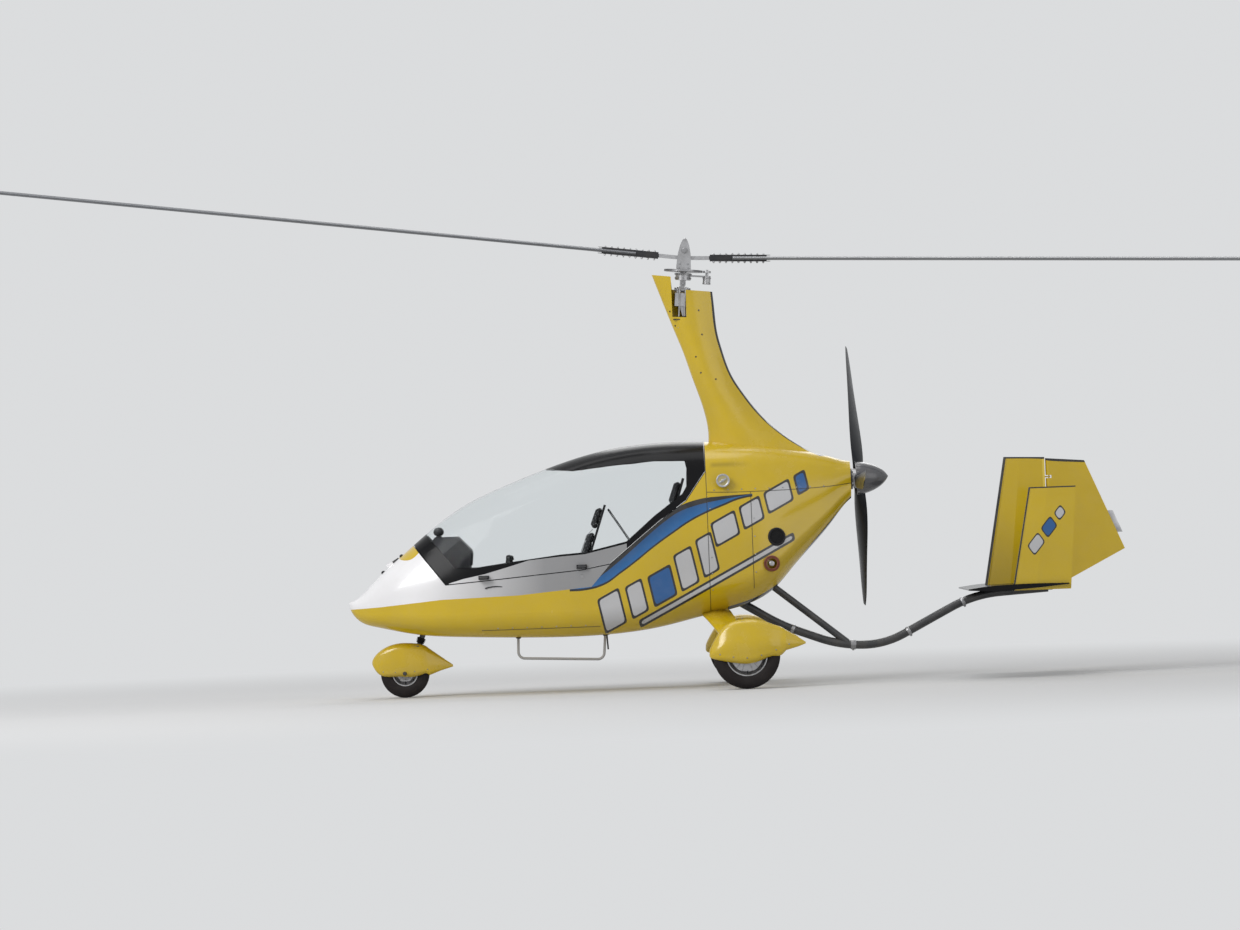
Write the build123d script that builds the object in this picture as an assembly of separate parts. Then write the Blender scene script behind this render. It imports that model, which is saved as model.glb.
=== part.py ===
from build123d import *
import math
import os

# A tandem two-seat gyrocopter standing on its three wheels.
# Millimetres. X runs aft, Y to starboard, Z up. The origin is on the floor,
# below the middle of the rotor.

os.makedirs("parts", exist_ok=True)

# Body shell
WALL = 18.0                 # moulded hull, cowl and canopy frame
GLASS = 6.0                 # canopy glazing
ROUNDING = 0.45             # share of a section's side that its corner arcs take up
NOSE_X = -2168.0
FIREWALL_X = 63.0           # where cabin and engine cowl meet
COWL_END_X = 960.0
FIREWALL_T = 12.0
FLOOR_Z = 395.0
FLOOR_T = 10.0
CLEAR = 6.0                 # clearance between moving pieces
RUNNING = 0.05              # radial clearance of every pin and shaft
SKY = 1700.0                # side-view cuts reach up to here
AHEAD = NOSE_X - 100.0
SIDE_REACH = 900.0          # side-view cuts reach this far to each side

# Canopy hinges on the starboard sill
CANOPY_HINGE_Y = 402.0
CANOPY_HINGE_Z = 745.0
CANOPY_HINGES_X = [-1230.0, -760.0]
CANOPY_PIN_R = 5.0

# Rotor and its head; heights are along the rotor's axis from the hub bar's middle
ROTOR_R = 4375.0
BLADE_ROOT_R = 300.0
BLADE_CHORD = 200.0
HUB_X = -18.0
HUB_Z = 2659.0
HEAD_TILT = 4.9             # the rotor's axis leans aft
CONING = 2.7                # built into the hub bar
CLAMP_R = 512.0             # the blade clamps end here
TEETER_H = 45.0             # teeter bolt above the hub bar's middle
TEETER_PIN_R = 8.0
TOWER_TOP_H = 110.0
GEAR_R = 117.0              # spin-up gear below the hub
GEAR_TOP_H = -74.0
GEAR_T = 12.0
PINION_R = 24.0             # the spin-up drive's pinion, drawn back from the gear
BEARING_TOP_H = -94.0
PITCH_H = -157.0
ROLL_H = -197.0
HEAD_PIN_R = 7.0
ROTOR_SHAFT_R = 20.0

# Mast
POST_X = 200.0
POST_HALF_X = 26.0
POST_HALF_Y = 24.0
MAST_WALL = 8.0
MAST_CAP_Z = 2468.0         # the front cap beside the rotor head is a moulding of its own above this

# Propeller; its own axis is X before it is tilted and placed
PROP_X = 1010.0
PROP_Z = 1255.0
PROP_TILT = 2.0             # the shaft rises towards the spinner
PROP_R = 930.0
SPINNER_R = 102.0
SPINNER_L = 186.0
PROP_HUB_R = 62.0
PROP_SHAFT_R = 24.0
GEARBOX_R = 66.0

# Wheels
MAIN_X = 263.0
MAIN_R = 203.0
MAIN_Y = 855.0
MAIN_TYRE_W = 104.0
MAIN_RIM_R = 124.0
MAIN_AXLE_R = 12.0
NOSE_WHEEL_X = -1841.0
NOSE_R = 151.0
NOSE_TYRE_W = 84.0
NOSE_RIM_R = 78.0
NOSE_AXLE_R = 10.0
TOW_PIN_Y = 98.0            # pins for a tow bar stand out of the nose fairing up to here
TOW_PIN_R = 9.0
TOW_PIN_L = 18.0
TOW_COLLAR_R = 13.0
PANT_WALL = 5.0
JACK_PAD = (206.0, 640.0, 240.0, 20.0)   # centre x and y, face z, radius
STEER_X = -1723.0           # where the steering axis leaves the belly
STEER_Z = 385.0
STEER_RAKE = 22.0           # the steering axis leans aft at its top
STEER_R = 17.0
STEER_HOUSING_R = 29.0

# Tail
BOOM_R = 26.0
BOOM_WALL = 4.0
EYE = (2184.0, 533.0, 8.0)  # tie-down hole: x, z, radius
STRUT_R = 22.0
STAB_LE = 1637.0
STAB_TE = 2254.0
STAB_T = 32.0
STAB_Z = 553.0
STAB_HALF = 590.0
STAB_INCIDENCE = 1.8        # trailing edge up
HINGE_X = 2192.0            # rudder hinge line
FIN_T = 46.0
RUDDER_NOSE_R = 20.0
RUDDER_LOW_Z = 577.0
RUDDER_PIN_R = 4.0
RUDDER_HINGES_Z = [700.0, 960.0, 1220.0]
SIDE_FIN_Y = 560.0
SIDE_FIN_T = 28.0

# Body sections from nose to propeller:
# x, belly z, low side z, high side z, top z, belly half, low half, high half, top half
POD = [
    (NOSE_X, 565, 575, 595, 605, 12, 20, 20, 12),
    (-2138, 512, 535, 590, 612, 40, 62, 60, 34),
    (-2086, 470, 505, 600, 648, 75, 112, 105, 60),
    (-2008, 445, 490, 640, 727, 110, 170, 155, 85),
    (-1835, 405, 470, 720, 878, 165, 255, 235, 130),
    (-1678, 380, 455, 750, 1008, 205, 305, 290, 160),
    (-1458, 364, 445, 790, 1162, 240, 345, 335, 190),
    (-1149, 350, 440, 850, 1300, 260, 370, 362, 215),
    (-634, 345, 440, 950, 1468, 270, 385, 375, 235),
    (-235, 385, 490, 1020, 1518, 260, 385, 372, 225),
    (FIREWALL_X, 450, 560, 1060, 1515, 230, 370, 350, 200),
    (469, 599, 700, 1090, 1480, 170, 300, 280, 150),
    (590, 728, 815, 1135, 1455, 140, 252, 237, 130),
    (712, 857, 930, 1180, 1430, 110, 205, 195, 110),
    (840, 999, 1054, 1237, 1395, 84, 156, 151, 84),
    (COWL_END_X, 1133, 1170, 1290, 1362, 60, 110, 110, 60),
]

# Side-view lines of the body, front to rear
SEAM = [
    (-1850, 1054), (-1563, 688), (-1327, 704), (-723, 750), (-548, 780), (-407, 893),
    (-228, 1035), (-63, 1153), (FIREWALL_X, 1330), (FIREWALL_X, SKY),
]
PAINT_LINE = [(NOSE_X - 20, 556), (-1983, 567), (-1589, 601), (-1113, 612), (-665, 648), (-548, 780)]
GLASS_LOW = [
    (-1690, 1020), (-1580, 891), (-1497, 789), (-1371, 788), (-1172, 812), (-856, 848),
    (-700, 857), (-440, 915), (-260, 1068), (-80, 1200),
]
ROOF_LOW = [(-953, 1385), (-757, 1366), (-519, 1389), (-252, 1408), (-60, 1403), (-50, 1357), (-54, 1245)]
RAIL_TOP = [(-1540, 700), (-1452, 724), (-1317, 750), (-1173, 788), (-1045, 824), (-856, 840), (-700, 849)]

# Mast fairing: z, front x, rear x, half width
MAST = [
    (2600, -235, 138, 72), (2500, -201, 146, 72), (2400, -165, 153, 72), (2300, -129, 160, 72),
    (2200, -92, 169, 73), (2077, -46, 197, 75), (1920, 3, 250, 80), (1800, 43, 322, 87),
    (1672, 78, 418, 96), (1550, 92, 545, 108), (1467, 84, 662, 116), (1400, 80, 790, 122),
]

# Wheel fairings: x, bottom z, top z, half width
MAIN_PANT = [
    (36, 208, 228, 20), (50, 192, 268, 52), (88, 180, 332, 76), (140, 168, 390, 88), (205, 156, 416, 93),
    (263, 151, 422, 94), (330, 163, 419, 92), (409, 190, 394, 82), (502, 226, 352, 60),
    (575, 245, 306, 32), (623, 262, 272, 8),
]
NOSE_PANT = [
    (-2043, 212, 230, 10), (-2026, 178, 262, 36), (-1990, 142, 296, 58), (-1918, 131, 330, 74),
    (-1841, 129, 339, 79), (-1770, 130, 334, 77), (-1690, 134, 302, 62), (-1620, 160, 250, 38),
    (-1543, 182, 194, 8),
]

# Propeller blade: radius, chord, thickness, pitch
PROP_BLADE = [
    (50, 64, 44, 58), (130, 92, 30, 48), (300, 124, 20, 35), (600, 116, 14, 22), (840, 88, 10, 16),
    (PROP_R, 46, 6, 14),
]


def side_face(points):
    """A closed outline in the side view."""
    return make_face(Plane.XZ * Polyline(*points, close=True))


def side_cut(points, half=SIDE_REACH):
    """A side-view outline carried across the width."""
    return extrude(side_face(points), amount=half, both=True)


def block(x0, x1, y0, y1, z0, z1):
    """A box between two corners."""
    return Pos((x0 + x1) / 2, (y0 + y1) / 2, (z0 + z1) / 2) * Box(x1 - x0, y1 - y0, z1 - z0)


def rod(a, b, r):
    """A round bar from a to b."""
    a, b = Vector(*a), Vector(*b)
    return extrude(Plane(origin=a, z_dir=b - a) * Circle(r), amount=(b - a).length)


def mirrored(shape):
    """The same shape on the other side of the middle."""
    return mirror(shape, about=Plane.XZ)


def shifted(line, by):
    """A side-view line moved to its left, seen going aft."""
    normals = []
    for (x0, z0), (x1, z1) in zip(line, line[1:]):
        size = math.hypot(x1 - x0, z1 - z0)
        normals.append(((z0 - z1) / size, (x1 - x0) / size))
    normals = [normals[0]] + normals + [normals[-1]]
    moved = []
    for (x, z), (a, b), (c, d) in zip(line, normals, normals[1:]):
        scale = by / (1 + a * c + b * d)
        moved.append((x + (a + c) * scale, z + (b + d) * scale))
    return moved


def rounded(points, share=ROUNDING):
    """A closed outline of straight sides whose corners are arcs as large as the sides allow."""
    radii = []
    for i in range(len(points)):
        before, here = Vector(*points[i - 1]), Vector(*points[i])
        after = Vector(*points[(i + 1) % len(points)])
        turn = math.radians((here - before).get_angle(after - here))
        shortest = min((here - before).length, (after - here).length)
        radii.append(share * shortest / math.tan(turn / 2))
    return FilletPolyline(*[Vector(*p) for p in points], radius=radii, close=True)


def both_sides(right):
    """A section's right half and its mirror image as one closed list of corners."""
    return right + [(-y, z) for y, z in reversed(right)]


def cross_plane(x):
    """The plane across the aircraft at x, with Y and Z as its own axes."""
    return Plane(origin=(x, 0, 0), x_dir=(0, 1, 0), z_dir=(1, 0, 0))


NODES = {}


def node(name, *shapes):
    """Keeps a sub-part under its own name."""
    parts = [s for shape in shapes for s in shape.solids()]
    NODES[name] = parts[0] if len(parts) == 1 else Compound(children=parts)
    return NODES[name]


def body_section(row, inset=0.0):
    x, zb, z1, z2, zt, b, w1, w2, t = row
    slim = 0.7 * inset
    right = [
        (b - slim, zb + inset), (w1 - inset, z1 + slim), (w2 - inset, z2 - slim), (t - slim, zt - inset),
    ]
    return make_face(cross_plane(x) * rounded(both_sides(right)))


outer = loft([body_section(row) for row in POD])
inner = loft([body_section(row, WALL) for row in POD[1:-1]])
stern = loft([body_section(POD[-2], WALL), body_section((COWL_END_X - WALL,) + POD[-1][1:], WALL)])
inner = inner + stern
inner_glass = loft([body_section(row, GLASS) for row in POD[3:-1]])
shell = outer - inner
prop_place = Pos(PROP_X, 0, PROP_Z) * Rot(0, -PROP_TILT, 0)
head_place = Pos(HUB_X, 0, HUB_Z) * Rot(0, HEAD_TILT, 0)
steer_place = Pos(STEER_X, 0, STEER_Z) * Rot(0, STEER_RAKE, 0)


# Hull and canopy share one skin, parted along the seam
def cabin():
    front = shell & block(AHEAD, FIREWALL_X, -SIDE_REACH, SIDE_REACH, 0, SKY)
    hull = front - side_cut(SEAM + [(SEAM[0][0], SKY)])
    hull = hull - steer_place * Pos(0, 0, 60) * Cylinder(STEER_HOUSING_R, 240)
    white = side_cut(PAINT_LINE + [(-500, SKY), (AHEAD, SKY)])
    node("hull_tub", hull - white)
    node("hull_upper_shell", hull & white)

    opening = shifted(SEAM, CLEAR)
    moving = side_cut(opening + [(opening[0][0], SKY)])
    window = side_cut(GLASS_LOW + list(reversed(ROOF_LOW)) + [(-1300, 1500), (-1800, 1300)])
    rail_zone = side_cut([(-1580, 600)] + RAIL_TOP + [(-440, 905), (-440, 600)])
    frame = (front & moving) - window
    rails = frame & rail_zone
    dark = frame - rail_zone
    node("canopy_side_rails", rails)
    node("canopy_frame", dark)
    glazing = (outer - inner_glass) & moving & window
    node("canopy_glass", glazing)

    lugs = []
    brackets = []
    for x in CANOPY_HINGES_X:
        y, z = CANOPY_HINGE_Y, CANOPY_HINGE_Z
        pin = rod((x - 28, y, z), (x + 28, y, z), CANOPY_PIN_R)
        arm = block(x - 8, x + 8, y - 60, y + 8, z + 22, z + 40)
        web = block(x - 8, x + 8, y - 10, y + 8, z, z + 40)
        lug = (arm + web + rod((x - 8, y, z), (x + 8, y, z), 11)) - outer
        lugs.append(lug - rod((x - 28, y, z), (x + 28, y, z), CANOPY_PIN_R + RUNNING))
        for side in (-1, 1):
            a, b = x + side * 10, x + side * 28
            low, high = min(a, b), max(a, b)
            foot = block(low, high, y - 60, y + 10, z - 72, z - 48)
            upright = block(low, high, y - 10, y + 10, z - 72, z)
            knuckle = rod((low, y, z), (high, y, z), 11)
            brackets.append((foot + upright + knuckle) - outer - pin)
        brackets.append(pin)
    reach = block(-1400, -600, -398, -300, 600, 900)
    latches = []
    for x, z in [(-1325, 706), (-721, 752)]:
        latch = block(x - 32, x + 32, -SIDE_REACH, 0, z + 10, z + 34)
        latches.append((latch & reach) - outer)
    node("canopy_fittings", *lugs, *latches)

    housing = Pos(0, 0, 75) * (Cylinder(STEER_HOUSING_R, 150) - Cylinder(STEER_R + RUNNING, 160))
    node("hull_fittings", *brackets, (steer_place * housing) & outer)


# Engine cowl, firewall and the parts on the cowl's skin
def engine_bay():
    cowl = shell & block(FIREWALL_X, COWL_END_X + 50, -SIDE_REACH, SIDE_REACH, 0, SKY)
    cowl = cowl - prop_place * Pos(-60, 0, 0) * Rot(0, 90, 0) * Cylinder(GEARBOX_R + CLEAR, 160)
    post = mast_post()
    node("engine_cowl", cowl - post)
    wall = inner & block(FIREWALL_X, FIREWALL_X + FIREWALL_T, -SIDE_REACH, SIDE_REACH, 0, SKY)
    floor = inner & block(-1675, FIREWALL_X, -SIDE_REACH, SIDE_REACH, FLOOR_Z, FLOOR_Z + FLOOR_T)
    node("floor_and_firewall", floor, wall)
    foot = block(POST_X + POST_HALF_X, 640, -120, 120, 900, 960)
    gearbox = prop_place * Pos(-209, 0, 0) * Rot(0, 90, 0) * Cylinder(GEARBOX_R, 342)
    bore = prop_place * Pos(-110, 0, 0) * Rot(0, 90, 0) * Cylinder(PROP_SHAFT_R + RUNNING, 200)
    gearbox = (gearbox & block(640, 1100, -200, 200, 900, 1500)) - bore
    node("engine", block(240, 640, -130, 130, 960, 1290), foot, gearbox)
    ties = [block(FIREWALL_X + FIREWALL_T, POST_X - POST_HALF_X, -40, 40, z, z + 90) for z in (545, 1300)]
    node("mast_post", post, *ties, head_bracket() - post)
    cap = (rod((166, -420, 1270), (166, -250, 1270), 40) & block(100, 240, -316, 0, 1100, 1400)) - outer
    pipe = rod((448, -330, 749), (448, -200, 749), 37) - rod((448, -340, 749), (448, -190, 749), 32)
    antenna = rod((-578, 0, 252), (-585, 0, 370), 5) - outer
    corners = [(-1128, 380), (-1133, 222), (-606, 197), (-590, 380)]
    side_view = Plane(origin=(0, -210, 0), x_dir=(1, 0, 0), z_dir=(0, -1, 0))
    path = side_view * FilletPolyline(*corners, radius=[40, 40])
    start = Plane(origin=path @ 0, z_dir=path % 0)
    step = sweep(start * Circle(8), path=path) - outer
    node("body_fittings", cap, pipe - outer, antenna, step)


def mast_post():
    """The rotor's post: upright behind the firewall, then leaning forward inside the mast."""
    side = [
        (POST_X - POST_HALF_X, 545), (POST_X + POST_HALF_X, 545), (POST_X + POST_HALF_X, 1444),
        (-41 + POST_HALF_X, 2412), (-41 - POST_HALF_X, 2404), (POST_X - POST_HALF_X, 1436),
    ]
    return side_cut(side, POST_HALF_Y)


def mast_outline(row, inset):
    """Right half of a level section through the mast fairing."""
    z, front, rear, half = row
    front, rear, half = front + 1.2 * inset, rear - 1.2 * inset, half - inset
    length = rear - front
    shoulder = half - 1.2 * inset
    return [
        (front, 0.30 * half), (front + 0.28 * length, shoulder),
        (front + 0.66 * length, 0.80 * half), (rear, 0.22 * half),
    ]


def mast():
    skins = []
    hollows = []
    for row in MAST:
        right, inner_right = mast_outline(row, 0), mast_outline(row, MAST_WALL)
        level = Plane.XY.offset(row[0])
        skins.append(make_face(level * rounded(right + [(x, -y) for x, y in reversed(right)])))
        corners = inner_right + [(x, -y) for x, y in reversed(inner_right)]
        hollows.append(make_face(level * Polyline(*corners, close=True)))
    top = [
        (-400, 2592), (-215, 2560), (-106, 2545), (-100, MAST_CAP_Z),
        (150, 2443), (400, 2407), (400, 2800), (-400, 2800),
    ]
    slot = side_cut([(-106, 2600), (-104, 2296), (-18, 2290), (-12, 2600)], 300)
    slot = slot & block(-400, 400, -300, 0, 2200, 2700)
    fairing = loft(skins) - outer - loft(hollows, ruled=True) - side_cut(top, 300) - slot
    cap_zone = block(-400, 400, -300, 300, MAST_CAP_Z, 2700)
    lower = max((fairing - cap_zone).solids(), key=lambda s: s.volume)
    cap = max((fairing & cap_zone).solids(), key=lambda s: s.volume)
    node("mast_fairing", lower, cap)


# Everything the occupants touch
def interior():
    top = FLOOR_Z + FLOOR_T
    seats = [
        ("front_seat", -1140, 500, -800, 470, -572, 1150, 205),
        ("rear_seat", -560, 590, -310, 560, -82, 1295, 190),
    ]
    for name, x0, z0, x1, z1, x2, z2, half in seats:
        lean = math.atan2(x2 - x1, z2 - z1)
        out_x, out_z = 14 * math.cos(lean), -14 * math.sin(lean)
        seat = side_cut(
            [(x0, z0 - 14), (x1 + 6, z1 - 14), (x2 + out_x, z2 + out_z), (x2, z2), (x1, z1), (x0, z0)], half
        )
        riser = side_cut([(x0 + 40, top), (x1 + 40, top), (x1 + 4, z1 - 14), (x0 + 40, z0 - 16)], half - 20)
        inside = block(x0 + 60, x1 + 200, -half + 34, half - 34, 0, 2000)
        node(name + "_shell", seat + (riser - inside - seat))
        pad = [(x0 + 5, z0), (x1 - 60, z1 + 8), (x1 - 40, z1 + 62), (x0 + 5, z0 + 55)]
        cushion = side_cut(pad, half - 15)
        cushion = cushion - seat
        fx, fz = math.cos(lean), -math.sin(lean)
        ux, uz = math.sin(lean), math.cos(lean)
        low, high, deep = 70.0, math.hypot(x2 - x1, z2 - z1) - 10, 52.0
        back = side_cut([
            (x1 + ux * low, z1 + uz * low), (x1 + ux * high, z1 + uz * high),
            (x1 + ux * high - fx * deep * 0.7, z1 + uz * high - fz * deep * 0.7),
            (x1 + ux * low - fx * deep, z1 + uz * low - fz * deep),
        ], half - 15)
        node(name + "_cushions", cushion, back - seat - cushion)
    cavity = loft([body_section(row, WALL + 2 * CLEAR) for row in POD[4:9]])
    pod = side_cut([
        (-1680, 900), (-1625, 985), (-1480, 985), (-1400, 900), (-1420, 700), (-1480, 640), (-1660, 640),
    ], 230)
    pod = pod & cavity
    pedestal = block(-1600, -1500, -60, 60, top, 640)
    stick = rod((-1240, 0, top), (-1180, 0, 760), 13)
    grip = rod((-1180, 0, 760), (-1166, 0, 850), 20)
    node("cockpit_controls", pod, pedestal, stick & block(-1400, -1000, -100, 100, top, 900), grip)


def head_bracket():
    """The fixed fork that carries the roll bolt."""
    shape = block(-44, 44, -40, 40, -300, -219)
    for x in (-36, 24):
        shape = shape + block(x, x + 12, -16, 16, -219, ROLL_H)
        shape = shape + rod((x, 0, ROLL_H), (x + 12, 0, ROLL_H), 16)
    return head_place * (shape + rod((-40, 0, ROLL_H), (40, 0, ROLL_H), HEAD_PIN_R))


# Mechanism on top of the mast: gimbal, bearing block, turning hub, teetering bar
def rotor_head():
    def put(shape):
        return head_place * shape

    def x_pin(h, half, r):
        return rod((-half, 0, h), (half, 0, h), r)

    def y_pin(h, half, r):
        return rod((0, -half, h), (0, half, h), r)

    lower = x_pin(ROLL_H, 20, 16)
    upper = y_pin(PITCH_H, 20, 14)
    gimbal = lower + upper + block(-13, 13, -13, 13, ROLL_H, PITCH_H)
    gimbal = gimbal - x_pin(ROLL_H, 30, HEAD_PIN_R + RUNNING) - y_pin(PITCH_H, 30, HEAD_PIN_R + RUNNING)
    node("head_gimbal", put(gimbal))

    housing = Pos(0, 0, (BEARING_TOP_H - 137) / 2) * Cylinder(48, BEARING_TOP_H + 137)
    cheeks = block(-18, 18, 24, 34, PITCH_H - 12, -130) + block(-18, 18, -34, -24, PITCH_H - 12, -130)
    reach = GEAR_R + CLEAR + PINION_R
    arm = block(30, reach + 14, -16, 16, -114, -104)
    drive = Pos(reach, 0, -128) * Cylinder(PINION_R, 48) + Pos(reach, 0, -88) * Cylinder(9, 32)
    pinion = Pos(reach, 0, GEAR_TOP_H - GEAR_T / 2) * Cylinder(PINION_R, GEAR_T)
    bearing = housing + cheeks + y_pin(PITCH_H, 38, HEAD_PIN_R) + arm + drive + pinion
    bearing = bearing - Pos(0, 0, -108) * Cylinder(ROTOR_SHAFT_R + RUNNING, 48)
    node("head_bearing_block", put(bearing))

    gear = Pos(0, 0, GEAR_TOP_H - GEAR_T / 2) * Cylinder(GEAR_R, GEAR_T)
    shaft = Pos(0, 0, (GEAR_TOP_H - 128) / 2) * Cylinder(ROTOR_SHAFT_R, GEAR_TOP_H + 128)
    base = block(-45, 45, -54, 54, GEAR_TOP_H, -52)
    tower = base + y_pin(TEETER_H, 62, TEETER_PIN_R)
    taper = side_cut([
        (-45, -52), (45, -52), (39, 29), (27, 81),
        (15, TOWER_TOP_H), (-15, TOWER_TOP_H), (-27, 81), (-39, 29),
    ])
    for y in (-54, 40):
        tower = tower + (taper & block(-60, 60, y, y + 14, -60, 200))
    node("rotor_tower", put(tower + gear + shaft))

    bar = side_cut([(-40, -13), (40, -13), (34, 22), (20, 64), (-20, 64), (-34, 22)], 34)
    bar = bar - y_pin(TEETER_H, 60, TEETER_PIN_R + RUNNING)
    for turn in (0, 180):
        arm_place = Rot(0, 0, turn) * Rot(0, -CONING, 0)
        blade = arm_place * rotor_blade()
        arm = block(0, BLADE_ROOT_R, -33, 33, -11, 11)
        clamp = block(160, CLAMP_R, -30, 30, -20, 20)
        bar = bar + ((arm_place * (arm + clamp)) - blade)
        node("rotor_blade_aft" if turn == 0 else "rotor_blade_fore", put(blade))
    bar = bar - y_pin(TEETER_H, 60, TEETER_PIN_R + RUNNING)
    node("rotor_hub_bar", put(bar))


def rotor_blade():
    """One blade along +X, its leading edge towards +Y."""
    outline = [
        (1.0, 0.004), (0.72, 0.034), (0.45, 0.062), (0.25, 0.070), (0.08, 0.048), (0.0, 0.006),
        (0.06, -0.024), (0.25, -0.042), (0.55, -0.036), (0.8, -0.018), (1.0, -0.004),
    ]
    points = [((0.28 - s) * BLADE_CHORD, (t - 0.014) * BLADE_CHORD) for s, t in outline]
    edge = Spline(*points)
    face = make_face(cross_plane(BLADE_ROOT_R) * (edge + Line(points[-1], points[0])))
    return extrude(face, amount=ROTOR_R - BLADE_ROOT_R, dir=(1, 0, 0))


# Propeller with its spinner and shaft
def propeller():
    def section(r, chord, thick, pitch):
        plane = Plane(origin=(0, 0, r), x_dir=Vector(0, 1, 0).rotate(Axis.Z, -pitch), z_dir=(0, 0, 1))
        lead, trail = (-0.4 * chord, 0), (0.6 * chord, 0)
        back = ThreePointArc(lead, (0.05 * chord, 0.75 * thick), trail)
        front = ThreePointArc(trail, (0.05 * chord, -0.25 * thick), lead)
        return make_face(plane * (back + front))

    blade = loft([section(*row) for row in PROP_BLADE])
    blades = [Rot(-27.6 - 120 * i, 0, 0) * blade for i in range(3)]
    hub = Rot(0, 90, 0) * Cylinder(PROP_HUB_R, 64)
    shaft = Pos(-80, 0, 0) * Rot(0, 90, 0) * Cylinder(PROP_SHAFT_R, 110)
    node("propeller_hub", *[prop_place * s for s in (hub + shaft - blades).solids()])
    node("propeller_blades", *[prop_place * one for one in blades])

    def ogive(r, x0, x1):
        middle = (x0 + 0.58 * (x1 - x0), 0.74 * r)
        curve = Spline((x0, r), middle, (x1, 0), tangents=[(1, 0), (0.5, -1)])
        face = make_face(Plane.XZ * (curve + Line((x1, 0), (x0, 0)) + Line((x0, 0), (x0, r))))
        return revolve(face, Axis.X)

    dome = ogive(SPINNER_R, -14, SPINNER_L) - ogive(SPINNER_R - 5, -9, SPINNER_L - 8)
    dome = dome - Rot(0, 90, 0) * Cylinder(PROP_HUB_R, 40)
    dome = dome - Rot(0, 90, 0) * Cylinder(PROP_SHAFT_R, 40) - blades
    node("spinner", *[prop_place * s for s in dome.solids()])


# Wheels, their fairings and legs
def wheel(name, x, y, radius, width, rim_r, bore):
    centre = Pos(x, y, radius)
    profile = rounded([
        (rim_r, -0.36 * width), ((radius + rim_r) / 2, -0.5 * width), (radius, -0.36 * width),
        (radius, 0.36 * width), ((radius + rim_r) / 2, 0.5 * width), (rim_r, 0.36 * width),
    ], 0.40)
    tyre = revolve(make_face(profile), Axis.Y)
    node(name + "_tyre", centre * tyre)
    barrel = Rot(90, 0, 0) * (Cylinder(rim_r, 0.72 * width) - Cylinder(rim_r - 9, width))
    web = Rot(90, 0, 0) * Cylinder(rim_r - 4, 14)
    hub = Rot(90, 0, 0) * Cylinder(bore + 18, 0.66 * width)
    rim = barrel + web + hub - Rot(90, 0, 0) * Cylinder(bore + RUNNING, width)
    node(name + "_rim", centre * rim)


def pant_section(row, top_share, inset=0.0):
    x, zb, zt, half = row
    zb, zt, half = zb + inset, zt - inset, half - inset
    middle = zb + 0.42 * (zt - zb)
    right = [(0.92 * half, zb), (half, middle), (top_share * half, zt)]
    return make_face(cross_plane(x) * rounded(both_sides(right), 0.36))


def pant(rows, centre_x, radius, width, top_share):
    """A wheel fairing over the middle plane, open below for its tyre, its tail solid and straight."""
    sections = [pant_section(row, top_share) for row in rows]
    skin = loft(sections[:-2]) + loft(sections[-3:], ruled=True)
    space = loft([pant_section(row, top_share, PANT_WALL) for row in rows[1:-2]])
    tread, side = 0.36 * width + CLEAR, 0.5 * width + CLEAR
    right = [(0, side), (0.8 * radius, side), (radius + CLEAR, tread)]
    outline = Polyline(*right, *[(x, -y) for x, y in reversed(right)], close=True)
    room = Pos(centre_x, 0, radius) * revolve(make_face(outline), Axis.Y)
    return skin - space - room


def main_gear():
    shoe = pant(MAIN_PANT, MAIN_X, MAIN_R, MAIN_TYRE_W, 0.52)
    shoe = Pos(0, MAIN_Y, 0) * shoe
    leg_rows = [
        (190, 92, 462, 190, 54), (380, 140, 398, 168, 46),
        (600, 198, 300, 146, 40), (790, 236, 212, 124, 36),
    ]
    leg = loft([leg_section(*row) for row in leg_rows]) - outer
    shoe = shoe - leg
    x, y, z, r = JACK_PAD
    leg = leg + rod((x, y, z), (x, y, z + 42), r)
    axle = rod((MAIN_X, 790, MAIN_R), (MAIN_X, MAIN_Y + 52, MAIN_R), MAIN_AXLE_R)
    for side, turn in (("right", lambda s: s), ("left", mirrored)):
        node("main_leg_" + side, turn(leg), turn(axle))
        node("main_fairing_" + side, turn(shoe))
        y = MAIN_Y if side == "right" else -MAIN_Y
        wheel("main_wheel_" + side, MAIN_X, y, MAIN_R, MAIN_TYRE_W, MAIN_RIM_R, MAIN_AXLE_R)


def leg_section(y, x, z, chord, thick):
    plane = Plane(origin=(0, y, 0), x_dir=(1, 0, 0), z_dir=(0, -1, 0))
    front, rear = x - chord / 2, x + chord / 2
    outline = [
        (front, z - 0.22 * thick), (front + 0.3 * chord, z - 0.5 * thick), (rear, z - 0.10 * thick),
        (rear, z + 0.10 * thick), (front + 0.3 * chord, z + 0.5 * thick), (front, z + 0.22 * thick),
    ]
    return make_face(plane * rounded(outline))


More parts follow.
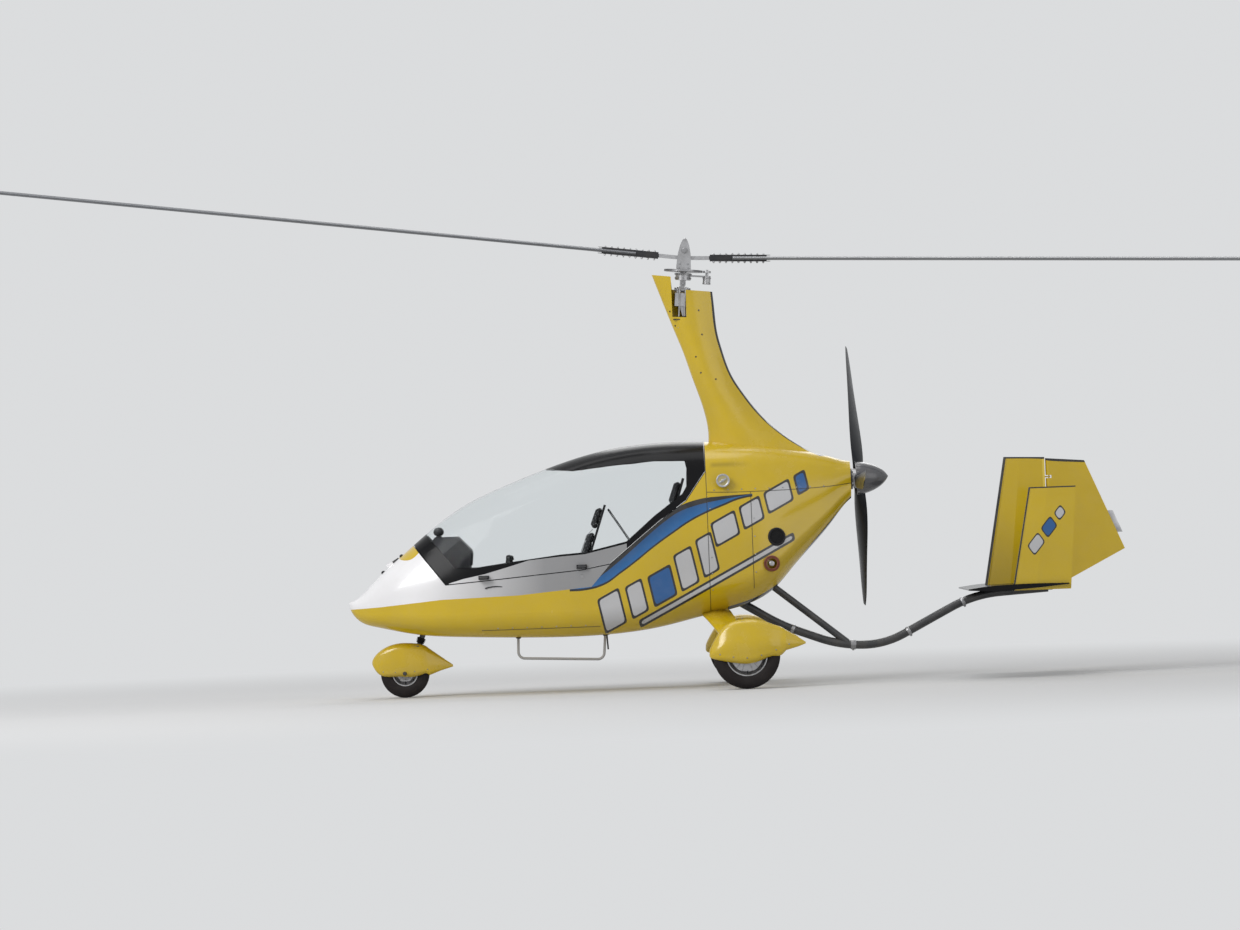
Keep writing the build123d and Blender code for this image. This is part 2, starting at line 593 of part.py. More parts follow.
def nose_gear():
    stem = steer_place * Pos(0, 0, 30) * Cylinder(STEER_R, 220)
    half = NOSE_TYRE_W / 2 + CLEAR
    crown = block(-1830, -1750, -half - 7, half + 7, 308, 320)
    legs = []
    for y in (-half - 7, half):
        blade = side_cut([(-1826, 314), (-1780, 314), (-1822, 140), (-1862, 140)], 200)
        legs.append(blade & block(-1900, -1700, y, y + 7, 0, 400))
    x, z, root = NOSE_WHEEL_X, NOSE_R, TOW_PIN_Y - TOW_PIN_L
    axle = rod((x, -half - 4, z), (x, half + 4, z), NOSE_AXLE_R)
    pin = rod((x, half + 4, z), (x, root - 6, z), TOW_COLLAR_R)
    pin = pin + rod((x, root, z), (x, TOW_PIN_Y, z), TOW_PIN_R)
    pin = pin + Pos(x, root - 3, z) * Rot(-90, 0, 0) * Cone(TOW_COLLAR_R, TOW_PIN_R, 6)
    fork = stem + crown + legs[0] + legs[1] + axle + pin + mirrored(pin)
    node("nose_fork", fork)
    shoe = pant(NOSE_PANT, NOSE_WHEEL_X, NOSE_R, NOSE_TYRE_W, 0.78)
    node("nose_fairing", shoe - fork)
    wheel("nose_wheel", NOSE_WHEEL_X, 0, NOSE_R, NOSE_TYRE_W, NOSE_RIM_R, NOSE_AXLE_R)


# Boom, tail surfaces and rudder
def tail():
    corners = [(170, 562), (507, 359), (849, 229), (1129, 215), (1700, 508), (2160, 533)]
    radii = [1200, 780, 540, 780]
    path = Plane.XZ * FilletPolyline(*corners, radius=radii)
    start = Plane(origin=path @ 0, z_dir=path % 0)
    full = sweep(start * Circle(BOOM_R), path=path)
    hollow = sweep(start * Circle(BOOM_R - BOOM_WALL), path=path)
    end = Vector(corners[-1][0], 0, corners[-1][1])
    plug = rod(end - (path % 1) * 40, end, BOOM_R - BOOM_WALL)
    x, z, r = EYE
    tab = block(end.X - 10, x, -4, 4, z - 14, z + 14) + rod((x, -4, z), (x, 4, z), 14)
    eye = plug + tab - rod((x, -9, z), (x, 9, z), r)
    node("tail_boom", (full - hollow - outer) + eye)
    strut = rod((440, 0, 618), (905, 0, 240), STRUT_R)
    node("boom_strut", strut - outer - full)

    chord = STAB_TE - STAB_LE
    middle = (STAB_TE + STAB_LE) / 2
    outline = [
        (-chord / 2, -4), (-0.3 * chord, -STAB_T / 2), (0.1 * chord, -STAB_T / 2), (chord / 2, -3),
        (chord / 2, 3), (0.1 * chord, STAB_T / 2), (-0.3 * chord, STAB_T / 2), (-chord / 2, 4),
    ]
    plate = extrude(make_face(Plane.XZ * rounded(outline)), amount=STAB_HALF, both=True)
    plate = Pos(middle, 0, STAB_Z) * Rot(0, -STAB_INCIDENCE, 0) * plate
    node("stabilizer", plate - full)

    rear = HINGE_X - RUDDER_NOSE_R - CLEAR
    fin = loft([fin_section(520, 1762, rear, FIN_T), fin_section(1352, 1914, rear, 0.9 * FIN_T)])
    top_trim = side_cut([
        (1700, 1390), (1914, 1352), (2200, 1341), (2300, 1341), (2300, 1500), (1700, 1500),
    ])
    fin = fin - top_trim - plate - full
    fin = max(fin.solids(), key=lambda s: s.volume)

    body = loft([rudder_section(RUDDER_LOW_Z), rudder_section(1340)])
    shape = side_cut([
        (2100, RUDDER_LOW_Z), (2285, RUDDER_LOW_Z), (2646, 760), (2413, 1314), (2100, 1341),
    ])
    rudder = body & shape
    pins = []
    brackets = []
    for z in RUDDER_HINGES_Z:
        rudder = rudder - block(HINGE_X - 30, HINGE_X + 15, -40, 40, z - 9, z + 9)
        pins.append(rod((HINGE_X, 0, z - 14), (HINGE_X, 0, z + 14), RUDDER_PIN_R))
        arm = block(rear, HINGE_X, -8, 8, z - 4, z + 4) + Pos(HINGE_X, 0, z) * Cylinder(9, 8)
        brackets.append(arm - Pos(HINGE_X, 0, z) * Cylinder(RUDDER_PIN_R + RUNNING, 30))
    for pin in pins:
        rudder = rudder + pin
    node("rudder", rudder)
    node("fin", fin, *brackets)

    side = loft([
        Pos(0, SIDE_FIN_Y, 0) * fin_section(530, 1908, 2265, SIDE_FIN_T, 0.25),
        Pos(0, SIDE_FIN_Y, 0) * fin_section(1158, 2028, 2315, SIDE_FIN_T, 0.25),
    ])
    side = side - plate
    side = max(side.solids(), key=lambda s: s.volume)
    node("side_fins", side, mirrored(side))


def fin_section(z, front, rear, thick, tail_share=1.0):
    """A horizontal section: round nose, widest at the middle or at the tail."""
    h, t = thick / 2, thick / 2 * tail_share
    mid = front + 0.4 * (rear - front)
    nose = ThreePointArc((front + 1.2 * h, -0.7 * h), (front, 0), (front + 1.2 * h, 0.7 * h))
    rest = Polyline(
        (front + 1.2 * h, 0.7 * h), (mid, h), (rear, t), (rear, -t), (mid, -h), (front + 1.2 * h, -0.7 * h)
    )
    return make_face(Plane.XY.offset(z) * (nose + rest))


def rudder_section(z):
    r = RUDDER_NOSE_R
    nose = ThreePointArc((HINGE_X, -r), (HINGE_X - r, 0), (HINGE_X, r))
    rest = Polyline((HINGE_X, r), (2660, 3), (2660, -3), (HINGE_X, -r))
    return make_face(Plane.XY.offset(z) * (nose + rest))


def export_all():
    for name, shape in NODES.items():
        export_step(shape, f"parts/{name}.step")


cabin()
engine_bay()
mast()
interior()
rotor_head()
propeller()
main_gear()
nose_gear()
tail()
export_all()
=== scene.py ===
import math
import bpy
from mathutils import Matrix, Vector


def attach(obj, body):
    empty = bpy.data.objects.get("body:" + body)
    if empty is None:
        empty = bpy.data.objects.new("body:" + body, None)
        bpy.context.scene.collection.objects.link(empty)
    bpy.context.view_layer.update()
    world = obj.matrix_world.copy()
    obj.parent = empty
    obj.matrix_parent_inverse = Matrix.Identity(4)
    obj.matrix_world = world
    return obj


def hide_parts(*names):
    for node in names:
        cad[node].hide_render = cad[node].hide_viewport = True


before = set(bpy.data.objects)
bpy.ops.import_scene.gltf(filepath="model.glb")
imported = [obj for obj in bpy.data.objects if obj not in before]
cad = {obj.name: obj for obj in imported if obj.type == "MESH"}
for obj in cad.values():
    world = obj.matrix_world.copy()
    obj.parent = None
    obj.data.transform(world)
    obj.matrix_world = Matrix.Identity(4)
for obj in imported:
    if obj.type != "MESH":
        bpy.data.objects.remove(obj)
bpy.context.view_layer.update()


# The picture: a long lens seen from the port side, 40 metres away, leaning with the aircraft's
# own pitch. A pale floor runs out into a pale studio, and broad soft lamps hang above.
bpy.ops.object.select_all(action="DESELECT")
bpy.ops.object.camera_add(location=(-0.4731, -40.0, 1.1125))
camera = bpy.context.object
camera.name = "long_lens"
camera.data.lens = 187.3
camera.data.sensor_width = 36.0
camera.data.clip_end = 400.0


def axes_along(first, second, third):
    """The turn that lays a piece's X, Y and Z along three directions."""
    return Matrix((first, second, third)).transposed().to_4x4()


ahead = (Vector((-0.4626, 0.0, 1.3913)) - camera.location).normalized()
lean = math.radians(2.15)
right = ahead.cross(Vector((math.sin(lean), 0.0, math.cos(lean)))).normalized()
above = right.cross(ahead)
camera.matrix_world = Matrix.Translation(camera.location) @ axes_along(right, above, -ahead)
bpy.context.scene.camera = camera
bpy.context.scene.view_settings.view_transform = "Standard"


def join(tree, value, socket):
    """Feeds a socket from another socket, or sets it to a value."""
    if isinstance(value, bpy.types.NodeSocket):
        tree.links.new(value, socket)
    else:
        socket.default_value = value


def step(tree, kind, *values, give=0, **settings):
    """Adds one shader node, fills its sockets in their order and gives back an output."""
    made = tree.nodes.new("ShaderNode" + kind)
    for name, value in settings.items():
        setattr(made, name, value)
    for socket, value in zip(made.inputs, values):
        if value is not None:
            join(tree, value, socket)
    return made.outputs[give]


def calc(tree, operation, *values):
    return step(tree, "Math", *values, operation=operation)


def spread(tree, value, low, high, least=0.0, most=1.0):
    """Stretches a value so that low to high becomes least to most."""
    return step(tree, "MapRange", value, low, high, least, most)


def mixed(tree, share, first, second, way="MIX"):
    """Lays the second colour over the first by a share."""
    made = tree.nodes.new("ShaderNodeMix")
    made.data_type = "RGBA"
    made.blend_type = way
    for number, value in ((0, share), (6, first), (7, second)):
        join(tree, value, made.inputs[number])
    return made.outputs[2]


STUDIO = (0.71, 0.72, 0.73, 1.0)
world = bpy.data.worlds.new("pale_studio")
bpy.context.scene.world = world
world.use_nodes = True
tree = world.node_tree
tree.nodes.clear()
soft_light = step(tree, "Background", (0.95, 0.97, 1.0, 1.0), 0.30)
backdrop = step(tree, "Background", STUDIO, 1.0)
path = tree.nodes.new("ShaderNodeLightPath")
seen = calc(tree, "MAXIMUM", path.outputs["Is Camera Ray"], path.outputs["Is Glossy Ray"])
seen = calc(tree, "MAXIMUM", seen, path.outputs["Is Transmission Ray"])
shown = step(tree, "MixShader", seen, soft_light, backdrop)
tree.links.new(shown, tree.nodes.new("ShaderNodeOutputWorld").inputs[0])

bpy.ops.object.select_all(action="DESELECT")
bpy.ops.mesh.primitive_circle_add(vertices=96, radius=150.0, fill_type="NGON", location=(0.0, 0.0, -0.001))
floor = bpy.context.object
floor.name = "studio_floor"
floor_finish = bpy.data.materials.new("studio_floor")
floor_finish.use_nodes = True
tree = floor_finish.node_tree
shader = tree.nodes["Principled BSDF"]
shader.inputs["Base Color"].default_value = (0.62, 0.62, 0.62, 1.0)
shader.inputs["Roughness"].default_value = 0.9
shader.inputs["Specular IOR Level"].default_value = 0.1
place = step(tree, "TexCoord", give=3)
away = step(tree, "VectorMath", place, operation="LENGTH", give=1)
far = step(tree, "MapRange", away, 3.0, 9.0, 0.0, 1.0, interpolation_type="SMOOTHSTEP")
distant = step(tree, "Emission", STUDIO, 1.0)
floor_mix = step(tree, "MixShader", far, shader.outputs[0], distant)
tree.links.new(floor_mix, tree.nodes["Material Output"].inputs[0])
floor.data.materials.append(floor_finish)

for name, place, size, power in (
    ("key_lamp", (-9.0, -9.0, 9.0), 7.0, 1250.0),
    ("fill_lamp", (9.0, -10.0, 4.0), 8.0, 170.0),
    ("back_lamp", (2.0, 11.0, 9.0), 8.0, 420.0),
    ("top_lamp", (-1.5, 0.0, 13.0), 9.0, 560.0),
):
    bpy.ops.object.light_add(type="AREA", location=place)
    lamp = bpy.context.object
    lamp.name = name
    lamp.data.size = size
    lamp.data.energy = power
    lamp.rotation_euler = (Vector((-0.3, 0.0, 1.0)) - Vector(place)).to_track_quat("-Z", "Y").to_euler()


# Hull, engine cowl and mast fairing: glass-fibre shells with a polished yellow gel coat.
# The livery is film on the gel coat: a blue flash below the canopy, a row of slanted
# silver bars, and black lines along the edges.
def start_finish(name, **even):
    """An empty finish; what is the same all over is set on its shader's own sockets."""
    made = bpy.data.materials.new(name)
    made.use_nodes = True
    shader = made.node_tree.nodes["Principled BSDF"]
    for socket, value in even.items():
        shader.inputs[socket.replace("_", " ")].default_value = value
    return made, made.node_tree, shader


def start_group(name, takes, gives):
    """An empty group of shader nodes with its sockets."""
    group = bpy.data.node_groups.new(name, "ShaderNodeTree")
    for label, kind, value in takes:
        socket = group.interface.new_socket(label, in_out="INPUT", socket_type="NodeSocket" + kind)
        socket.default_value = value
    for label, kind in gives:
        group.interface.new_socket(label, in_out="OUTPUT", socket_type="NodeSocket" + kind)
    taken = group.nodes.new("NodeGroupInput").outputs
    given = group.nodes.new("NodeGroupOutput").inputs
    return group, taken, given


def put_group(tree, group, shader, **values):
    """Places a finish group and feeds the shader's sockets of the same names."""
    made = tree.nodes.new("ShaderNodeGroup")
    made.node_tree = group
    for name, value in values.items():
        join(tree, value, made.inputs[name.replace("_", " ")])
    for output in made.outputs:
        tree.links.new(output, shader.inputs[output.name])
    return made


def bumped(tree, height, distance, strength, under=None):
    made = tree.nodes.new("ShaderNodeBump")
    made.inputs["Distance"].default_value = distance
    made.inputs["Strength"].default_value = strength
    join(tree, height, made.inputs["Height"])
    if under is not None:
        tree.links.new(under, made.inputs["Normal"])
    return made.outputs[0]


gel_coat, taken, given = start_group(
    "gel_coat",
    (("Paint", "Color", (0.8, 0.8, 0.8, 1.0)), ("Dust", "Float", 0.3), ("Line", "Float", 0.0)),
    (("Base Color", "Color"), ("Roughness", "Float"), ("Normal", "Vector")),
)
place = step(gel_coat, "TexCoord", give=3)
cloudy = step(gel_coat, "TexNoise", place, None, 1.7, 3.0, 0.55)
tone = spread(gel_coat, cloudy, 0.3, 0.7, 0.93, 1.05)
tinted = step(gel_coat, "VectorMath", taken["Paint"], None, None, tone, operation="SCALE")
specks = step(gel_coat, "TexNoise", place, None, 9.0, 8.0, 0.65)
facing = step(gel_coat, "SeparateXYZ", step(gel_coat, "TexCoord", give=1), give=2)
settled = spread(gel_coat, facing, 0.1, 1.0, 0.35, 1.0)
dusty = calc(gel_coat, "MULTIPLY", spread(gel_coat, specks, 0.42, 0.72), settled)
dusty = calc(gel_coat, "MULTIPLY", dusty, taken["Dust"])
coated = mixed(gel_coat, calc(gel_coat, "MULTIPLY", dusty, 0.45), tinted, (0.42, 0.37, 0.29, 1.0))
# Line darkens the paint: dark seam joints, and on the hull also painted shade in a recess.
coated = mixed(gel_coat, calc(gel_coat, "MULTIPLY", taken["Line"], 0.8), coated, (0.012, 0.011, 0.010, 1.0))
gel_coat.links.new(coated, given["Base Color"])
rough = spread(gel_coat, cloudy, 0.3, 0.7, 0.17, 0.25)
rough = calc(gel_coat, "ADD", rough, calc(gel_coat, "MULTIPLY", dusty, 0.5))
gel_coat.links.new(rough, given["Roughness"])
waves = bumped(gel_coat, step(gel_coat, "TexNoise", place, None, 5.0, 1.0), 0.004, 0.10)
peel = bumped(gel_coat, step(gel_coat, "TexNoise", place, None, 260.0, 1.0), 0.0003, 0.12, waves)
sunk = bumped(gel_coat, calc(gel_coat, "SUBTRACT", 1.0, taken["Line"]), 0.0015, 1.0, peel)
gel_coat.links.new(sunk, given["Normal"])


def line_at(tree, along, points):
    """The height of a painted line over a place along the hull, through points given in order."""
    first, last = points[0][0], points[-1][0]
    low = min(height for place, height in points)
    high = max(height for place, height in points)
    curve = tree.nodes.new("ShaderNodeFloatCurve")
    line = curve.mapping.curves[0]
    for number, (place, height) in enumerate(points):
        spot = ((place - first) / (last - first), (height - low) / max(high - low, 1e-6))
        if 0 < number < len(points) - 1:
            line.points.new(*spot)
        else:
            line.points[-1 if number else 0].location = spot
    curve.mapping.update()
    tree.links.new(spread(tree, along, first, last), curve.inputs["Value"])
    return spread(tree, curve.outputs[0], 0.0, 1.0, low, high)


def crisp(tree, distance, soft=0.0012):
    """1 where a distance is above 0 and 0 below, with a narrow soft edge."""
    return spread(tree, distance, -soft, soft)


def past(tree, value, limit):
    """1 where a value is past a limit."""
    return crisp(tree, calc(tree, "SUBTRACT", value, limit))


def both(tree, *masks):
    found = masks[0]
    for mask in masks[1:]:
        found = calc(tree, "MULTIPLY", found, mask)
    return found


def within(tree, value, low, high):
    """1 between two limits."""
    return both(tree, past(tree, value, low), past(tree, high, value))


def slanted_bar(tree, along, up, centre, size, lean):
    """How far inside a slanted bar a place lies: above 0 inside, with rounded corners."""
    from_middle = calc(tree, "SUBTRACT", along, centre[0])
    height = calc(tree, "SUBTRACT", up, centre[1])
    from_middle = calc(tree, "SUBTRACT", from_middle, calc(tree, "MULTIPLY", height, lean))
    side = calc(tree, "SUBTRACT", size[0] / 2, calc(tree, "ABSOLUTE", from_middle))
    top = calc(tree, "SUBTRACT", size[1] / 2, calc(tree, "ABSOLUTE", height))
    return step(tree, "Math", side, top, 0.03, operation="SMOOTH_MIN")


def leaning_axes(tree, x, z, angle):
    """Along and up for a pattern that leans by an angle."""
    across, rise = math.cos(angle), math.sin(angle)
    along = calc(tree, "ADD", calc(tree, "MULTIPLY", x, across), calc(tree, "MULTIPLY", z, rise))
    up = calc(tree, "SUBTRACT", calc(tree, "MULTIPLY", z, across), calc(tree, "MULTIPLY", x, rise))
    return along, up


def edged_bar(tree, paint, inside, border, colour):
    """A bar of film with a black border."""
    paint = mixed(tree, crisp(tree, inside), paint, BLACK)
    return mixed(tree, past(tree, inside, border), paint, colour)


YELLOW = (0.58, 0.400, 0.007, 1.0)
BLACK = (0.012, 0.012, 0.013, 1.0)
BLUE = (0.010, 0.095, 0.29, 1.0)
SILVER = (0.50, 0.50, 0.51, 1.0)
SLANT = 0.28
CABIN_MIDDLE = (-1.0, 0.0, 0.95)
CABIN_REAR, CABIN_TOP = 0.06, 1.36
FIREWALL, COWL_END = 0.063, 0.96


def axes(tree):
    """Where a point lies along the aircraft, across it and up."""
    parts = tree.nodes.new("ShaderNodeSeparateXYZ")
    tree.links.new(step(tree, "TexCoord", give=3), parts.inputs[0])
    return parts.outputs


def lined(tree, paint):
    """A shell's inner face isn't painted: it is dark grey, and it faces the cabin's middle."""
    place = step(tree, "TexCoord", give=3)
    outwards = step(tree, "VectorMath", place, CABIN_MIDDLE, operation="SUBTRACT")
    normal = step(tree, "TexCoord", give=1)
    towards = step(tree, "VectorMath", outwards, normal, operation="DOT_PRODUCT", give=1)
    x, y, z = axes(tree)
    cabin = both(tree, past(tree, CABIN_REAR, x), past(tree, CABIN_TOP, z))
    inner = both(tree, cabin, spread(tree, towards, -0.001, 0.001, 1.0, 0.0))
    return mixed(tree, inner, paint, (0.030, 0.030, 0.033, 1.0))


hull_yellow, tree, shader = start_finish("hull_yellow", Coat_Weight=0.3, Coat_Roughness=0.06)
x, y, z = axes(tree)
paint = YELLOW
along, up = leaning_axes(tree, x, z, math.radians(27.5))
bars = (
    (-0.255, 0.690, 0.155, 0.215, SILVER), (-0.085, 0.680, 0.120, 0.200, SILVER),
    (0.090, 0.672, 0.165, 0.190, BLUE), (0.270, 0.690, 0.130, 0.225, SILVER),
    (0.425, 0.700, 0.115, 0.235, SILVER), (0.600, 0.785, 0.175, 0.150, SILVER),
    (0.790, 0.790, 0.150, 0.145, SILVER), (0.985, 0.795, 0.185, 0.135, SILVER),
    (1.150, 0.800, 0.085, 0.125, BLUE),
)
for middle, height, wide, tall, colour in bars:
    inside = slanted_bar(tree, along, up, (middle, height), (wide, tall), SLANT)
    paint = edged_bar(tree, paint, inside, 0.013, colour)
stripe = slanted_bar(tree, along, up, (0.40, 0.535), (1.10, 0.050), SLANT)
paint = mixed(tree, crisp(tree, stripe), paint, BLACK)
stripe = slanted_bar(tree, along, up, (0.40, 0.535), (1.07, 0.022), SLANT)
paint = mixed(tree, crisp(tree, stripe), paint, SILVER)

flash_low = line_at(tree, x, (
    (-0.80, 0.637), (-0.70, 0.641), (-0.60, 0.664), (-0.48, 0.738), (-0.38, 0.808), (-0.28, 0.884),
    (-0.15, 0.972), (-0.03, 1.046), (0.08, 1.096), (0.17, 1.130), (0.25, 1.160), (0.345, 1.178),
))
edge_low = line_at(tree, x, (
    (-0.80, 0.638), (-0.70, 0.652), (-0.60, 0.716), (-0.50, 0.790), (-0.407, 0.866), (-0.30, 0.955),
    (-0.20, 1.032), (-0.10, 1.092), (0.0, 1.124), (0.06, 1.137), (0.15, 1.152), (0.25, 1.167), (0.345, 1.180),
))
edge_top = line_at(tree, x, (
    (-0.80, 0.640), (-0.70, 0.676), (-0.60, 0.752), (-0.50, 0.830), (-0.407, 0.905), (-0.30, 0.992),
    (-0.20, 1.066), (-0.10, 1.126), (0.0, 1.158), (0.06, 1.168), (0.15, 1.174), (0.25, 1.179), (0.345, 1.182),
))
flash_span = within(tree, x, -0.80, 0.345)
over_low = past(tree, z, flash_low)
under_top = past(tree, edge_top, z)
rim = past(tree, z, calc(tree, "SUBTRACT", flash_low, 0.013))
paint = mixed(tree, both(tree, flash_span, rim, under_top), paint, BLACK)
deep = spread(tree, calc(tree, "SUBTRACT", z, flash_low), 0.0, 0.11)
flash_blue = mixed(tree, deep, (0.008, 0.125, 0.36, 1.0), (0.008, 0.055, 0.16, 1.0))
over_edge = past(tree, edge_low, z)
paint = mixed(tree, both(tree, flash_span, over_low, over_edge), paint, flash_blue)

mast_rear = line_at(tree, z, (
    (1.34, 0.92), (1.40, 0.776), (1.467, 0.648), (1.55, 0.531), (1.672, 0.404), (1.80, 0.308),
    (1.92, 0.236), (2.077, 0.183), (2.20, 0.155), (2.40, 0.139), (2.60, 0.124),
))
behind = past(tree, x, mast_rear)
trim = both(tree, behind, within(tree, z, 1.40, 2.445))
paint = mixed(tree, trim, paint, BLACK)
belly = line_at(tree, x, ((0.17, 0.492), (0.469, 0.612), (0.712, 0.874), (0.90, 1.080), (0.97, 1.158)))
under = both(tree, past(tree, belly, z), past(tree, x, 0.17))
paint = mixed(tree, under, paint, BLACK)


def near(tree, value, target, half=0.0016):
    """1 in a thin band about a target."""
    gap = calc(tree, "ABSOLUTE", calc(tree, "SUBTRACT", value, target))
    return spread(tree, gap, half, half * 1.8, 1.0, 0.0)


firewall_seam = both(tree, near(tree, x, FIREWALL), past(tree, 1.33, z))
cowl_edge = line_at(tree, x, ((FIREWALL, 1.202), (0.34, 1.196), (COWL_END, 1.226)))
cowl_split = both(tree, near(tree, z, cowl_edge), within(tree, x, FIREWALL, COWL_END))
hatch = both(tree, near(tree, x, 0.335), within(tree, z, 0.60, 1.197))
tub_split = both(tree, near(tree, z, 0.402), within(tree, x, -1.35, -0.62))
seams_and_recess_shade = calc(tree, "MAXIMUM", firewall_seam, cowl_split)
seams_and_recess_shade = calc(tree, "MAXIMUM", seams_and_recess_shade, calc(tree, "MAXIMUM", hatch, tub_split))
# A shallow recess under the mast's root: bump sinks its band, and the Line input darkens it, which is painted
# shade.
off_recess = calc(tree, "ABSOLUTE", calc(tree, "SUBTRACT", z, 1.368))
recess_ends = both(tree, spread(tree, x, 0.085, 0.110), spread(tree, x, 0.200, 0.350, 1.0, 0.0))
recess_with_painted_shade = both(tree, spread(tree, off_recess, 0.003, 0.022, 0.38, 0.0), recess_ends)
seams_and_recess_shade = calc(tree, "MAXIMUM", seams_and_recess_shade, recess_with_painted_shade)
put_group(tree, gel_coat, shader, Paint=lined(tree, paint), Dust=0.35, Line=seams_and_recess_shade)


def dress(finish, *names):
    """Gives CAD nodes a finish."""
    for name in names:
        cad[name].data.materials.clear()
        cad[name].data.materials.append(finish)


dress(hull_yellow, "hull_tub", "engine_cowl", "mast_fairing")

# The plain yellow of wheel fairings and legs: the same gel coat with no film on it,
# dirtier low down, where the wheels throw it.
plain_yellow, tree, shader = start_finish("plain_yellow", Coat_Weight=0.3, Coat_Roughness=0.06)
height = step(tree, "SeparateXYZ", step(tree, "TexCoord", give=3), give=2)
put_group(tree, gel_coat, shader, Paint=YELLOW, Dust=spread(tree, height, 0.10, 0.45, 1.0, 0.3))
dress(
    plain_yellow, "main_fairing_left", "main_fairing_right", "main_leg_left", "main_leg_right",
    "nose_fairing",
)

# The hull's upper half and the canopy's sill: white gel coat that runs into silver behind the nose,
# and black behind the front seat. A yellow patch caps the nose. The fall from white to dark grey aft is
# partly silver paint and partly painted shade, with the nose lit and the sides in shade.
hull_white, tree, shader = start_finish("hull_white", Coat_Weight=0.6, Coat_Roughness=0.05)
x, y, z = axes(tree)
# White at the nose to dark grey aft: partly paint turning silver, partly painted shade.
paint = mixed(tree, spread(tree, x, -1.75, -0.95), (0.84, 0.83, 0.84, 1.0), (0.27, 0.27, 0.275, 1.0))
patch = line_at(tree, x, ((-1.92, 1.0), (-1.86, 0.868), (-1.80, 0.850), (-1.74, 0.878), (-1.70, 0.96)))
capped = both(tree, past(tree, z, patch), past(tree, x, -1.90))
paint = mixed(tree, capped, paint, YELLOW)
paint = mixed(tree, crisp(tree, calc(tree, "ADD", x, 0.420)), paint, BLACK)
put_group(tree, gel_coat, shader, Paint=lined(tree, paint), Dust=0.25)
dress(hull_white, "hull_upper_shell", "canopy_side_rails")

# Canopy frame, roof and tailplane: black gel coat. The roof meets the mast in a dark pillar.
gloss_black, tree, shader = start_finish("gloss_black", Coat_Weight=0.0, Specular_IOR_Level=0.12)
put_group(tree, gel_coat, shader, Paint=(0.007, 0.007, 0.008, 1.0), Dust=0.02)
dress(gloss_black, "canopy_frame", "stabilizer")

# Glazing: clear formed acrylic. Lamps shine through it, so that the cabin isn't dark.
acrylic, tree, shader = start_finish(
    "acrylic", Base_Color=(0.93, 0.95, 0.955, 1.0), Transmission_Weight=1.0, IOR=1.1, Roughness=0.0
)
clear = step(tree, "BsdfTransparent", (0.90, 0.92, 0.93, 1.0))
path = tree.nodes.new("ShaderNodeLightPath")
shadowed = calc(tree, "MAXIMUM", path.outputs["Is Shadow Ray"], path.outputs["Is Diffuse Ray"])
glazing = step(tree, "MixShader", shadowed, shader.outputs[0], clear)
tree.links.new(glazing, tree.nodes["Material Output"].inputs[0])
dress(acrylic, "canopy_glass")

# Metals: satin machined metal for the rotor head and its post, dark powder coat on frames
# and tubes. Fine grain and old stains break up the shine.
worked_metal, taken, given = start_group(
    "worked_metal",
    (
        ("Metal", "Color", (0.6, 0.6, 0.6, 1.0)), ("Grain", "Vector", (60.0, 60.0, 60.0)),
        ("Polish", "Float", 0.3),
    ),
    (("Base Color", "Color"), ("Roughness", "Float"), ("Normal", "Vector")),
)
place = step(worked_metal, "TexCoord", give=3)
place = step(worked_metal, "VectorMath", place, taken["Grain"], operation="MULTIPLY")
grain = step(worked_metal, "TexNoise", place, None, 1.0, 6.0, 0.7)
stains = step(worked_metal, "TexNoise", step(worked_metal, "TexCoord", give=3), None, 14.0, 4.0)
dark_spots = spread(worked_metal, stains, 0.4, 0.75, 0.0, 0.4)
colour = mixed(worked_metal, dark_spots, taken["Metal"], (0.10, 0.09, 0.08, 1.0))
scratches = spread(worked_metal, grain, 0.3, 0.7, 0.22, 0.0)
colour = mixed(worked_metal, scratches, colour, (0.02, 0.02, 0.02, 1.0))
worked_metal.links.new(colour, given["Base Color"])
rough = calc(worked_metal, "ADD", taken["Polish"], spread(worked_metal, grain, 0.3, 0.7, -0.08, 0.14))
worked_metal.links.new(rough, given["Roughness"])
worked_metal.links.new(bumped(worked_metal, grain, 0.0004, 0.25), given["Normal"])

machined, tree, shader = start_finish("machined_alloy", Metallic=1.0)
put_group(tree, worked_metal, shader, Metal=(0.50, 0.50, 0.51, 1.0), Grain=(90.0, 90.0, 400.0), Polish=0.36)
dress(machined, "head_gimbal", "head_bearing_block", "rotor_tower", "propeller_hub", "mast_post")
FINE_GRAIN = (300.0, 300.0, 300.0)
bolt_steel, tree, shader = start_finish("bolt_steel", Metallic=1.0)
put_group(tree, worked_metal, shader, Metal=(0.42, 0.42, 0.43, 1.0), Grain=FINE_GRAIN, Polish=0.30)
dark_coat, tree, shader = start_finish("dark_powder_coat", Coat_Weight=0.35, Coat_Roughness=0.15)
put_group(tree, worked_metal, shader, Metal=(0.024, 0.025, 0.028, 1.0), Grain=FINE_GRAIN, Polish=0.34)
dress(dark_coat, "tail_boom", "boom_strut", "nose_fork", "hull_fittings", "floor_and_firewall", "engine")

